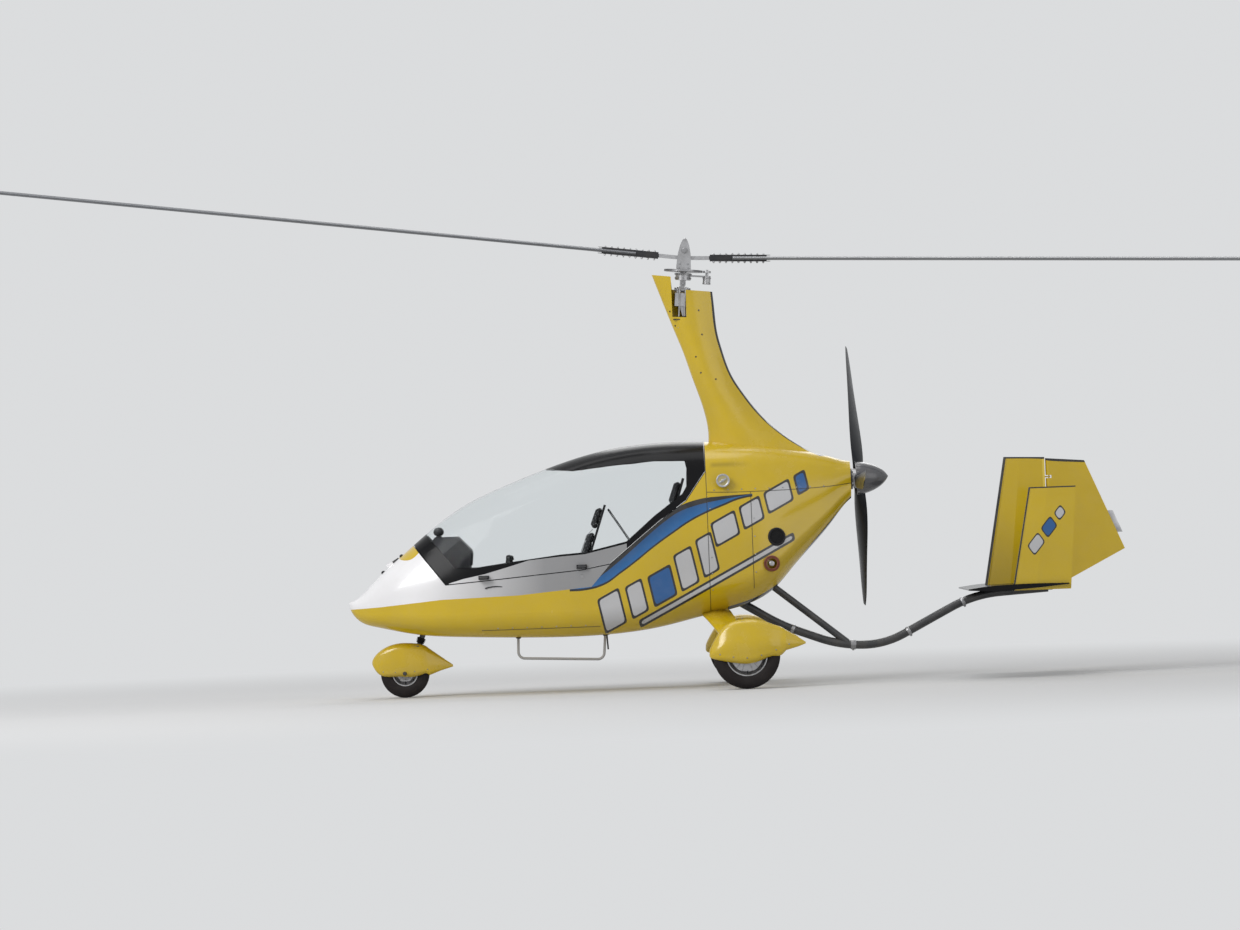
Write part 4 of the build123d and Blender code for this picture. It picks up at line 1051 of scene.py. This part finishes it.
tree.links.new(spread(tree, smudges, 0.3, 0.7, 0.42, 0.58), shader.inputs["Roughness"])
pointer_white, tree, shader = start_finish("pointer_white")
put_group(tree, moulded, shader, Colour=(0.75, 0.74, 0.70, 1.0), Size=900.0, Sheen=0.45)

panel_up = Vector((0.0995, 0.0, 0.995))
panel_out = Vector((0.995, 0.0, -0.0995))
panel = axes_along(Vector((0.0, 1.0, 0.0)), panel_up, panel_out)


def on_panel(y, z):
    """A place on the panel's leaning face."""
    return Vector((-1.400 - 0.1 * (0.900 - z), y, z))


faces, bezels, needles = [], [], []
for y, z, size, reading in (
    (-0.130, 0.845, 0.038, 215.0), (-0.043, 0.850, 0.038, 140.0), (0.043, 0.850, 0.038, 60.0),
    (0.130, 0.845, 0.038, 190.0), (-0.105, 0.760, 0.030, 250.0), (0.105, 0.760, 0.030, 100.0),
):
    spot = on_panel(y, z) + panel_out * 0.001
    place = Matrix.Translation(spot) @ panel
    dial = turned("dial", ((size * 0.95, 0.0), (size * 0.95, 0.002)), 40)
    dial.matrix_world = place
    faces.append(dial)
    bezel = turned("bezel", mirrored_ring([
        (size * 0.86, 0.0042), (size * 0.90, 0.0062), (size, 0.0068), (size * 1.10, 0.0048),
    ]), 40)
    bezel.matrix_world = place
    bezels.append(bezel)
    for corner in range(4):
        turn = math.radians(45.0 + 90.0 * corner)
        head = screw(0.0026)
        in_corner = (size * 1.22 * math.cos(turn), size * 1.22 * math.sin(turn), 0.0)
        head.matrix_world = place @ Matrix.Translation(in_corner)
        bezels.append(head)
    needle = cut_out("needle", [
        (-0.10 * size, -0.05 * size), (0.80 * size, -0.012 * size), (0.80 * size, 0.012 * size),
        (-0.10 * size, 0.05 * size),
    ], 0.0006)
    cap = turned("cap", ((0.10 * size, -0.0003), (0.10 * size, 0.0012), (0.05 * size, 0.0014)), 14)
    needle = together("needle", [needle, cap])
    shown_turn = Matrix.Rotation(math.radians(reading), 4, "Z")
    needle.matrix_world = place @ Matrix.Translation((0.0, 0.0, 0.0026)) @ shown_turn
    needles.append(needle)
settle(together("dial_faces", faces), "airframe", dial_face)
settle(together("dial_bezels", bezels), "airframe", black_plastic)
settle(together("dial_needles", needles), "airframe", pointer_white)

extras = []
for z in (0.772, 0.742):
    spot = on_panel(0.0, z)
    box = block("radio", 0.030, 0.012, 0.006, 0.0012)
    box.matrix_world = Matrix.Translation(spot) @ panel
    extras.append(box)
    for side in (-1.0, 1.0):
        knob = turned("knob", ((0.0065, 0.0), (0.0065, 0.008), (0.0052, 0.013), (0.003, 0.013)), 16)
        knob.matrix_world = Matrix.Translation(spot + Vector((0.0, side * 0.042, 0.0))) @ panel
        extras.append(knob)
for number in range(8):
    y = -0.105 + 0.030 * number
    spot = Vector((-1.4185, y, 0.7145))
    collar = turned("collar", ((0.0055, 0.0), (0.0055, 0.003), (0.0042, 0.004)), 12)
    collar.matrix_world = Matrix.Translation(spot) @ panel
    toggle = turned("toggle", ((0.0018, 0.002), (0.0024, 0.014), (0.0012, 0.016)), 10)
    toggle.matrix_world = Matrix.Translation(spot) @ panel @ Matrix.Rotation(math.radians(-22.0), 4, "X")
    extras += [collar, toggle]
settle(together("panel_switches", extras), "airframe", bolt_steel)

compass = turned("panel_compass", (
    (0.020, -0.030), (0.018, -0.024), (0.012, -0.022), (0.024, -0.017), (0.0315, -0.007), (0.033, 0.004),
    (0.030, 0.016), (0.022, 0.026), (0.010, 0.031),
), 32)
settle(compass, "airframe", black_plastic, Matrix.Translation((-1.602, 0.0, 1.015)))

# Controls: a moulded grip with switches on the stick, a rubber gaiter at its foot, a throttle
# and brake levers in a quadrant to port, and rudder pedals under the panel.
stick_top = Vector((-1.180, 0.0, 0.760))
stick_line = Vector((0.014, 0.0, 0.090)).normalized()
grip = turned("stick_grip", (
    (0.0205, 0.004), (0.0225, 0.010), (0.0208, 0.022), (0.0222, 0.034), (0.0210, 0.046), (0.0225, 0.058),
    (0.0215, 0.070), (0.0235, 0.082), (0.0225, 0.093), (0.015, 0.099),
), 28)
buttons = [grip]
for turn, high in ((20.0, 0.094), (150.0, 0.094), (-90.0, 0.078)):
    button = turned("button", ((0.005, 0.0), (0.005, 0.0055), (0.0035, 0.0068)), 14)
    away = (math.cos(math.radians(turn)), math.sin(math.radians(turn)), 0.9 if high > 0.09 else 0.0)
    reach = 0.009 if high > 0.09 else 0.021
    button.matrix_world = aimed((reach * away[0], reach * away[1], high), away)
    buttons.append(button)
settle(together("stick_grip", buttons), "airframe", rubber, aimed(stick_top, stick_line))
folds = [(0.014, 0.052)]
for number in range(4):
    crest, valley = 0.020 + 0.009 * number, 0.017 + 0.009 * number
    folds += [(crest, 0.047 - 0.012 * number), (valley, 0.041 - 0.012 * number)]
folds += [(0.058, 0.0)]
gaiter = turned("stick_gaiter", folds, 32)
settle(gaiter, "airframe", rubber, Matrix.Translation((-1.236, 0.0, 0.4055)))

plate = cut_out("quadrant", [
    (-0.110, 0.0), (0.110, 0.0), (0.100, 0.050), (0.050, 0.072), (-0.050, 0.072), (-0.100, 0.050),
], 0.056, 0.004)
plate.matrix_world = Matrix.Translation((-1.050, -0.232, 0.560)) @ upright
levers = [plate]
for y, tilt, size in ((-0.248, 18.0, 0.015), (-0.272, -24.0, 0.011)):
    arm = turned("arm", (
        (0.0055, 0.0), (0.0045, 0.105), (size * 0.7, 0.108), (size, 0.116), (size, 0.128),
        (size * 0.72, 0.136), (size * 0.3, 0.138),
    ), 20)
    arm.matrix_world = Matrix.Translation((-1.050, y, 0.600)) @ Matrix.Rotation(math.radians(tilt), 4, "Y")
    levers.append(arm)
foot = cut_out("foot", [(-0.020, -0.145), (0.020, -0.145), (0.020, 0.0), (-0.020, 0.0)], 0.030, 0.002)
foot.matrix_world = Matrix.Translation((-1.050, -0.245, 0.562)) @ upright
levers.append(foot)
settle(together("throttle_quadrant", levers), "airframe", black_plastic)

pedals = []
for y in (-0.135, 0.135):
    pad = cut_out("pad", [
        (-0.040, 0.0), (0.040, 0.0), (0.044, 0.016), (0.040, 0.105), (-0.040, 0.105), (-0.044, 0.016),
    ], 0.008, 0.0016)
    tilted = Matrix.Rotation(math.radians(-24.0), 4, "Y")
    pad.matrix_world = Matrix.Translation((-1.560, y, 0.470)) @ tilted @ crosswise
    arm = turned("arm", ((0.008, 0.0), (0.008, 0.075)), 14)
    arm.matrix_world = aimed((-1.565, y, 0.4045), (-0.10, 0.0, 1.0))
    pedals += [pad, arm]
bar = turned("bar", ((0.010, -0.165), (0.010, 0.165)), 16)
bar.matrix_world = aimed((-1.565, 0.0, 0.416), (0.0, 1.0, 0.0))
settle(together("rudder_pedals", pedals + [bar]), "airframe", machined)

# Engine cowl: a fuel cap with a light alloy ring and a key lock, a round air outlet behind
# black mesh, and the exhaust's tail pipe in its flange.
cap = turned("fuel_cap_ring", mirrored_ring([
    (0.0300, 0.0016), (0.0325, 0.0032), (0.0375, 0.0036), (0.0415, 0.0022),
]), 48)
grip_bar = block("grip_bar", 0.024, 0.0055, 0.0075, 0.0018)
lock = turned("lock", (
    (0.0085, 0.0), (0.0085, 0.0085), (0.0070, 0.0095), (0.0030, 0.0095), (0.0026, 0.0080),
), 24)
on_cap = aimed((0.166, -0.3162, 1.270), (0.0, -1.0, 0.0))
cap = together("fuel_cap_ring", [cap, grip_bar, lock])
settle(cap, "airframe", rim_alloy, on_cap @ Matrix.Rotation(math.radians(32.0), 4, "Z"))
disc = turned("fuel_cap_disc", ((0.0306, -0.001), (0.0306, 0.0006), (0.012, 0.0016)), 40)
cap_paint, tree, shader = start_finish("cap_paint", Coat_Weight=0.3)
put_group(tree, gel_coat, shader, Paint=(0.42, 0.36, 0.16, 1.0), Dust=0.5)
settle(disc, "airframe", cap_paint, on_cap)

spot, facing = on_skin("engine_cowl", (0.485, -1.0, 0.912), (0.0, 1.0, 0.0))
outlet = turned("outlet_ring", mirrored_ring([
    (0.0430, 0.0020), (0.0450, 0.0062), (0.0500, 0.0080), (0.0555, 0.0050), (0.0570, 0.0010),
]), 48)
slats = [outlet]
for number in range(11):
    for turn in (0.0, 90.0):
        offset = (number - 5) * 0.0080
        reach = math.sqrt(0.0445 ** 2 - offset ** 2)
        wire = turned("wire", ((0.0011, -reach), (0.0011, reach)), 6)
        crossed = Matrix.Rotation(math.radians(turn), 4, "Z")
        wire.matrix_world = crossed @ aimed((0.0, offset, 0.0018), (1.0, 0.0, 0.0))
        slats.append(wire)
settle(together("cowl_outlet", slats), "airframe", black_plastic, aimed(spot, facing))
# A near-black disc behind the mesh stands in for the outlet's unlit inside: painted shade.
back = turned("outlet_painted_shade", ((0.0440, -0.004), (0.0440, 0.0005)), 40)
hole_shade, tree, shader = start_finish("hole_shade")
put_group(tree, moulded, shader, Colour=(0.006, 0.006, 0.006, 1.0), Size=300.0, Sheen=0.85)
settle(back, "airframe", hole_shade, aimed(spot, facing))

spot, facing = on_skin("engine_cowl", (0.380, -1.0, 0.749), (0.0, 1.0, 0.0))
spot = Vector((0.448, spot.y, 0.749))
flange = turned("exhaust_flange", mirrored_ring([
    (0.0385, 0.0014), (0.0400, 0.0040), (0.0470, 0.0040), (0.0500, 0.0014),
]), 40)
scorched, tree, shader = start_finish("scorched_steel", Metallic=1.0)
x, y, z = axes(tree)
heat = spread(tree, y, -0.345, -0.300, 0.0, 1.0)
blued = mixed(tree, heat, (0.30, 0.11, 0.07, 1.0), (0.14, 0.050, 0.036, 1.0))
put_group(tree, worked_metal, shader, Metal=blued, Grain=(160.0, 160.0, 160.0), Polish=0.42)
lip = turned("lip", mirrored_ring([(0.0310, 0.010), (0.0325, 0.012), (0.0372, 0.012), (0.0385, 0.010)]), 40)
lip.matrix_world = Matrix.Translation((0.0, 0.0, 0.006))
flange = together("exhaust_flange", [flange, lip])
on_flange = aimed((0.448, -0.3265, 0.749), (0.0, -1.0, 0.0))
settle(flange, "airframe", scorched, on_flange)
silencer = turned("exhaust_core", ((0.0170, -0.030), (0.0170, 0.004), (0.0140, 0.006), (0.0060, 0.0065)), 28)
settle(silencer, "airframe", rim_alloy, on_flange)

# Mast: two push rods come up through the slot in its port side, out of rubber grommets, to the
# rotor head. Screws hold the fairing's rear half, with its black edge trim.
rods = []
for x0, z0, x1, z1 in ((-0.064, 2.285, -0.052, 2.468), (-0.030, 2.285, -0.014, 2.462)):
    run = Vector((x1 - x0, 0.0, z1 - z0))
    rod = turned("rod", (
        (0.0050, -0.060), (0.0050, run.length - 0.034), (0.0072, run.length - 0.030),
        (0.0072, run.length - 0.010), (0.0040, run.length - 0.006), (0.0040, run.length),
    ), 16)
    rod.matrix_world = aimed((x0, -0.040, z0), run)
    eye = turned("eye", mirrored_ring([(0.0045, 0.0050), (0.0080, 0.0050), (0.0105, 0.0030)]), 24)
    eye.matrix_world = aimed((x1, -0.040, z1 + 0.006), (0.0, 1.0, 0.0))
    rods += [rod, eye]
settle(together("head_push_rods", rods), "airframe", rim_alloy)
grommets = []
for x, y, z in ((-0.064, -0.040, 2.287), (-0.030, -0.040, 2.287)):
    grommet = turned("grommet", mirrored_ring([(0.0052, 0.010), (0.0110, 0.010), (0.0150, 0.004)]), 24)
    grommet.matrix_world = aimed((x, y, z), (0.06, 0.0, 1.0))
    grommets.append(grommet)
sill = cut_out("sill", [(-0.100, -0.060), (-0.012, -0.060), (-0.012, 0.050), (-0.100, 0.050)], 0.006, 0.001)
sill.matrix_world = Matrix.Translation((0.0, 0.0, 2.276))
settle(together("mast_grommets", grommets + [sill]), "airframe", rubber)

places = []
for x, z in (
    (0.032, 2.043), (0.059, 1.943), (-0.118, 2.330), (-0.088, 2.240), (0.060, 2.330), (0.075, 2.180),
    (0.150, 1.900),
):
    for sign in (-1.0, 1.0):
        spot, facing = on_skin("mast_fairing", (x, sign * 0.5, z), (0.0, -sign, 0.0))
        places.append(aimed(spot - facing * 0.0005, facing))
settle(copies("mast_screws", screw(0.0055), places), "airframe", dark_coat)

# Rotor head: machined blocks and cheeks on bearings, bolted through. The spin-up gear below the
# hub bar has teeth all round, and the drive's pinion stands back from it.
head = Matrix.Translation((-0.018, 0.0, 2.659)) @ Matrix.Rotation(math.radians(4.9), 4, "Y")
GEAR_LOW, GEAR_HIGH = -0.0865, -0.0735
DRIVE_AFT = 0.147
CHEEK = 0.0542


def toothed(name, radius, tall, bore, teeth, low, high):
    """A gear's rim: every other face round it is drawn out into a tooth."""
    ring = turned(name, mirrored_ring([(bore, (high - low) / 2), (radius, (high - low) / 2)]), teeth * 2)

    def tooth(middle, direction):
        turn = math.degrees(math.atan2(middle.y, middle.x)) % (360.0 / teeth)
        return middle.xy.length > radius * 0.998 and turn < 180.0 / teeth

    pick(ring, tooth)
    bpy.ops.mesh.inset(thickness=0.0002, depth=tall, use_individual=True)
    bpy.ops.object.mode_set(mode="OBJECT")
    ring.matrix_world = Matrix.Translation((0.0, 0.0, (low + high) / 2))
    return ring


ring = toothed("spin_up_gear_teeth", 0.1174, 0.0026, 0.112, 116, GEAR_LOW, GEAR_HIGH)
settle(ring, "rotor_mount", bolt_steel, head)
pinion = toothed("drive_pinion_teeth", 0.0236, 0.0022, 0.012, 23, GEAR_LOW, GEAR_HIGH)
shaft_nut = bolt(0.014, 0.007)
shaft_nut.matrix_world = Matrix.Translation((0.0, 0.0, GEAR_HIGH))
pinion = together("drive_pinion_teeth", [pinion, shaft_nut])
settle(pinion, "head_bearing", bolt_steel, head @ Matrix.Translation((DRIVE_AFT, 0.0, 0.0)))

places = []
for side in (1.0, -1.0):
    places.append(aimed((0.0, side * CHEEK, 0.045), (0.0, side, 0.0)))
settle(copies("teeter_bolt_nuts", bolt(0.030, 0.014), places), "rotor_mount", bolt_steel, head)
places = []
for side in (1.0, -1.0):
    for x in (-0.030, 0.030):
        places.append(aimed((x, side * CHEEK, -0.064), (0.0, side, 0.0)))
    for x in (-0.024, 0.024):
        places.append(aimed((x, side * CHEEK, -0.038), (0.0, side, 0.0)))
settle(copies("tower_bolts", bolt(0.010, 0.006), places), "rotor_mount", bolt_steel, head)
nuts = [block("tower_top_strap", 0.013, 0.054, 0.006, 0.0012)]
for y in (-0.047, 0.047):
    nut = bolt(0.010, 0.008)
    nut.matrix_world = Matrix.Translation((0.0, y, 0.006))
    nuts.append(nut)
tower_top = head @ Matrix.Translation((0.0, 0.0, 0.1102))
settle(together("tower_top_strap", nuts), "rotor_mount", machined, tower_top)

collar = turned("bearing_collar", mirrored_ring([(0.0475, 0.0050), (0.0530, 0.0050), (0.0545, 0.0036)]), 48)
collar.matrix_world = Matrix.Translation((0.0, 0.0, -0.1010))
spots = []
for number in range(10):
    turn = math.radians(36.0 * number + 18.0)
    outwards = (math.cos(turn), math.sin(turn), 0.0)
    spots.append(aimed((0.0490 * outwards[0], 0.0490 * outwards[1], -0.126), outwards))
drive_band = turned("drive_band", mirrored_ring([(0.0236, 0.0040), (0.0262, 0.0040), (0.0270, 0.0028)]), 32)
drive_band.matrix_world = Matrix.Translation((DRIVE_AFT, 0.0, -0.118))
drive_foot = turned("drive_foot", (
    (0.0245, -0.157), (0.0255, -0.155), (0.0255, -0.149), (0.0245, -0.147),
), 32)
drive_foot.matrix_world = Matrix.Translation((DRIVE_AFT, 0.0, 0.0)) @ drive_foot.matrix_world
bearing_bolts = copies("bearing_bolts", bolt(0.007, 0.0045), spots)
collar = together("bearing_collar", [collar, drive_band, drive_foot, bearing_bolts])
settle(collar, "head_bearing", bolt_steel, head)
places = [aimed((side * 0.0402, 0.0, -0.197), (side, 0.0, 0.0)) for side in (1.0, -1.0)]
settle(copies("roll_bolt_nuts", bolt(0.020, 0.010), places), "airframe", bolt_steel, head)
places = [aimed((0.0, side * 0.0382, -0.157), (0.0, side, 0.0)) for side in (1.0, -1.0)]
settle(copies("pitch_bolt_nuts", bolt(0.019, 0.009), places), "head_bearing", bolt_steel, head)

# Rotor: extruded alloy blades with capped tips, each held between two straps by a double row
# of bolts. The hub bar is bare in the middle and dark under the straps.
hub_metal, tree, shader = start_finish("hub_bar_metal", Metallic=1.0)
x, y, z = axes(tree)
off_axis = calc(tree, "ADD", x, 0.018)
off_axis = calc(tree, "MULTIPLY", off_axis, off_axis)
out = calc(tree, "SQRT", calc(tree, "ADD", off_axis, calc(tree, "MULTIPLY", y, y)))
colour = mixed(tree, past(tree, out, 0.158), (0.50, 0.50, 0.51, 1.0), (0.055, 0.056, 0.060, 1.0))
put_group(tree, worked_metal, shader, Metal=colour, Grain=(120.0, 120.0, 120.0), Polish=0.38)
dress(hub_metal, "rotor_hub_bar")
blade_alloy, tree, shader = start_finish("blade_alloy", Metallic=0.2)
streaks = step(tree, "TexNoise", step(tree, "TexCoord", give=3), None, 1.1, 2.0, 0.4)
paler = spread(tree, streaks, 0.35, 0.65)
streaked = mixed(tree, paler, (0.125, 0.130, 0.140, 1.0), (0.160, 0.165, 0.176, 1.0))
tree.links.new(streaked, shader.inputs["Base Color"])
tree.links.new(spread(tree, streaks, 0.35, 0.65, 0.46, 0.56), shader.inputs["Roughness"])
dress(blade_alloy, "rotor_blade_fore", "rotor_blade_aft")
rows, tips, plates = [], [], []
for turn in (0.0, 180.0):
    arm = Matrix.Rotation(math.radians(turn), 4, "Z") @ Matrix.Rotation(math.radians(-2.7), 4, "Y")
    for number in range(9):
        for y in (-0.016, 0.016):
            for side in (1.0, -1.0):
                rows.append(arm @ aimed((0.184 + 0.0385 * number, y, side * 0.0202), (0.0, 0.0, side)))
    tip = cut_out("tip", [
        (0.0, -0.1445), (0.010, -0.1440), (0.014, -0.100), (0.0145, 0.020), (0.012, 0.052), (0.0, 0.0562),
    ], 0.0150, 0.0022)
    tip.matrix_world = arm @ Matrix.Translation((4.3600, 0.0, -0.0065))
    tips.append(tip)
    for side in (1.0, -1.0):
        plate = cut_out("plate", [
            (0.168, -0.026), (0.500, -0.026), (0.530, -0.014), (0.536, 0.0), (0.530, 0.014),
            (0.500, 0.026), (0.168, 0.026),
        ], 0.003, 0.0008)
        plate.matrix_world = arm @ Matrix.Translation((0.0, 0.0, side * 0.0188 - 0.0015))
        plates.append(plate)
nut = bolt(0.013, 0.0075)
stub = turned("stub", ((0.0038, 0.007), (0.0038, 0.0100), (0.0030, 0.0108)), 12)
settle(copies("strap_bolts", together("strap_bolt", [nut, stub]), rows), "rotor", rim_alloy, head)
settle(together("blade_tip_caps", tips), "rotor", black_plastic, head)
settle(together("strap_plates", plates), "rotor", dark_coat, head)

# Propeller: three carbon blades clamped in an alloy hub. Screws hold the painted spinner to its
# back plate.
carbon, tree, shader = start_finish(
    "blade_carbon", Coat_Weight=0.12, Coat_Roughness=0.12, Specular_IOR_Level=0.2
)
put_group(tree, moulded, shader, Colour=(0.012, 0.014, 0.018, 1.0), Size=420.0, Sheen=0.30)
dress(carbon, "propeller_blades")
spinner_grey, tree, shader = start_finish("spinner_grey", Coat_Weight=0.5, Coat_Roughness=0.08)
put_group(tree, gel_coat, shader, Paint=(0.085, 0.085, 0.092, 1.0), Dust=0.3)
dress(spinner_grey, "spinner")
prop = Matrix.Translation((1.010, 0.0, 1.255)) @ Matrix.Rotation(math.radians(-2.0), 4, "Y")
along_x = Matrix.Rotation(math.radians(90.0), 4, "Y")
plate = turned("spinner_back_plate", mirrored_ring([(0.080, 0.0014), (0.1005, 0.0014), (0.1030, 0.0006)]), 64)
settle(plate, "propeller", machined, prop @ Matrix.Translation((-0.0125, 0.0, 0.0)) @ along_x)
spots = []
for number in range(9):
    turn = math.radians(40.0 * number + 12.0)
    outwards = (0.0, math.sin(turn), math.cos(turn))
    spots.append(aimed((-0.003, 0.1013 * outwards[1], 0.1013 * outwards[2]), outwards))
settle(copies("spinner_screws", screw(0.0042), spots), "propeller", bolt_steel, prop)
spots = []
for number in range(6):
    turn = math.radians(60.0 * number + 30.0)
    spots.append(aimed((-0.0322, 0.048 * math.sin(turn), 0.048 * math.cos(turn)), (-1.0, 0.0, 0.0)))
settle(copies("propeller_bolts", bolt(0.013, 0.008), spots), "propeller", bolt_steel, prop)

# Tail boom: one bent steel tube, braced by a strut below the engine. Clamps with a screw each
# hold the strut and the control cables' conduit along it.
clamps = []
for x, wide in ((0.560, 0.010), (0.940, 0.016), (1.300, 0.010), (1.640, 0.010)):
    spot, facing = on_skin("tail_boom", (x, 0.0, -0.2), (0.0, 0.0, 1.0))
    run = Vector((0.0, 1.0, 0.0)).cross(facing)
    middle = spot - facing * 0.026
    band = turned("band", mirrored_ring([(0.0262, wide), (0.0290, wide), (0.0298, wide * 0.7)]), 36)
    band.matrix_world = aimed(middle, run)
    ear = bolt(0.011, 0.008)
    ear.matrix_world = aimed(spot + facing * 0.0022, facing)
    clamps += [band, ear]
settle(together("boom_clamps", clamps), "airframe", bolt_steel)
feet = []
for x, y, size in ((-0.582, 0.0, 0.020), (-1.128, -0.210, 0.017), (-0.591, -0.210, 0.017)):
    spot, facing = on_skin("hull_tub", (x, y, -0.2), (0.0, 0.0, 1.0))
    base = turned("base", ((size, -0.002), (size, 0.002), (size * 0.8, 0.0055), (size * 0.5, 0.0065)), 28)
    base.matrix_world = aimed(spot, facing)
    feet.append(base)
settle(together("belly_grommets", feet), "airframe", rubber)

# Tail surfaces: a fin with its rudder in the middle and a smaller fin on each end of the black
# tailplane. Black film trims the edges, and a few slanted bars repeat the hull's.
fin_yellow, tree, shader = start_finish("fin_yellow", Coat_Weight=0.3, Coat_Roughness=0.06)
x, y, z = axes(tree)
front = calc(tree, "ADD", 1.762, calc(tree, "MULTIPLY", calc(tree, "SUBTRACT", z, 0.520), 0.1827))
trim = past(tree, calc(tree, "ADD", front, 0.016), x)
top = line_at(tree, x, ((1.80, 1.3564), (2.17, 1.3422), (2.175, 1.3345), (2.413, 1.314), (2.70, 1.30)))
trim = calc(tree, "MAXIMUM", trim, past(tree, z, calc(tree, "SUBTRACT", top, 0.013)))
# A lighter yellow strip along the fin's rear edge at the rudder gap is a painted highlight.
gap_painted_highlight = within(tree, x, 2.152, 2.166)
paint = mixed(tree, gap_painted_highlight, YELLOW, (0.74, 0.55, 0.06, 1.0))
paint = mixed(tree, trim, paint, BLACK)
put_group(tree, gel_coat, shader, Paint=paint, Dust=0.3)
dress(fin_yellow, "fin", "rudder")

side_fin_yellow, tree, shader = start_finish("side_fin_yellow", Coat_Weight=0.3, Coat_Roughness=0.06)
x, y, z = axes(tree)
front = calc(tree, "ADD", 1.908, calc(tree, "MULTIPLY", calc(tree, "SUBTRACT", z, 0.530), 0.1911))
trim = past(tree, calc(tree, "ADD", front, 0.010), x)
trim = calc(tree, "MAXIMUM", trim, past(tree, z, 1.150))
along, up = leaning_axes(tree, x, z, math.radians(50.7))
paint = mixed(tree, trim, YELLOW, BLACK)
for middle, wide, tall, colour in (
    (-0.09, 0.110, 0.075, SILVER), (0.04, 0.100, 0.075, BLUE), (0.15, 0.070, 0.060, SILVER),
):
    inside = slanted_bar(tree, along, up, (2.0225 + middle, -1.0815), (wide, tall), SLANT)
    paint = edged_bar(tree, paint, inside, 0.007, colour)
put_group(tree, gel_coat, shader, Paint=paint, Dust=0.3)
dress(side_fin_yellow, "side_fins")

for side, sign in (("left", -1.0), ("right", 1.0)):
    plate_edge = [(1.95 + 0.07 * number, sign * (0.560 - 0.030), 0.9) for number in range(4)]
    along_skin("tailplane_screws_" + side, "stabilizer", 0.005, plate_edge, (0.0, 0.0, -1.0))
tab = cut_out("rudder_trim_tab", [
    (2.594, 0.862), (2.636, 0.862), (2.579, 0.998), (2.537, 0.998),
], 0.0016, 0.0004)
settle(tab, "rudder", rim_alloy, Matrix.Translation((0.0, 0.0008, 0.0)) @ upright)
horn = cut_out("rudder_horn", [
    (2.218, -0.026), (2.208, -0.062), (2.216, -0.076), (2.230, -0.070), (2.248, -0.020), (2.248, 0.020),
    (2.230, 0.070), (2.216, 0.076), (2.208, 0.062), (2.218, 0.026),
], 0.004, 0.001)
pieces = [horn]
for y in (-0.062, 0.062):
    nut = bolt(0.010, 0.007)
    nut.matrix_world = Matrix.Translation((2.219, y, 0.004))
    pieces.append(nut)
horn = together("rudder_horn", pieces)
settle(horn, "rudder", machined, Matrix.Translation((0.0, 0.0, 0.5725)))
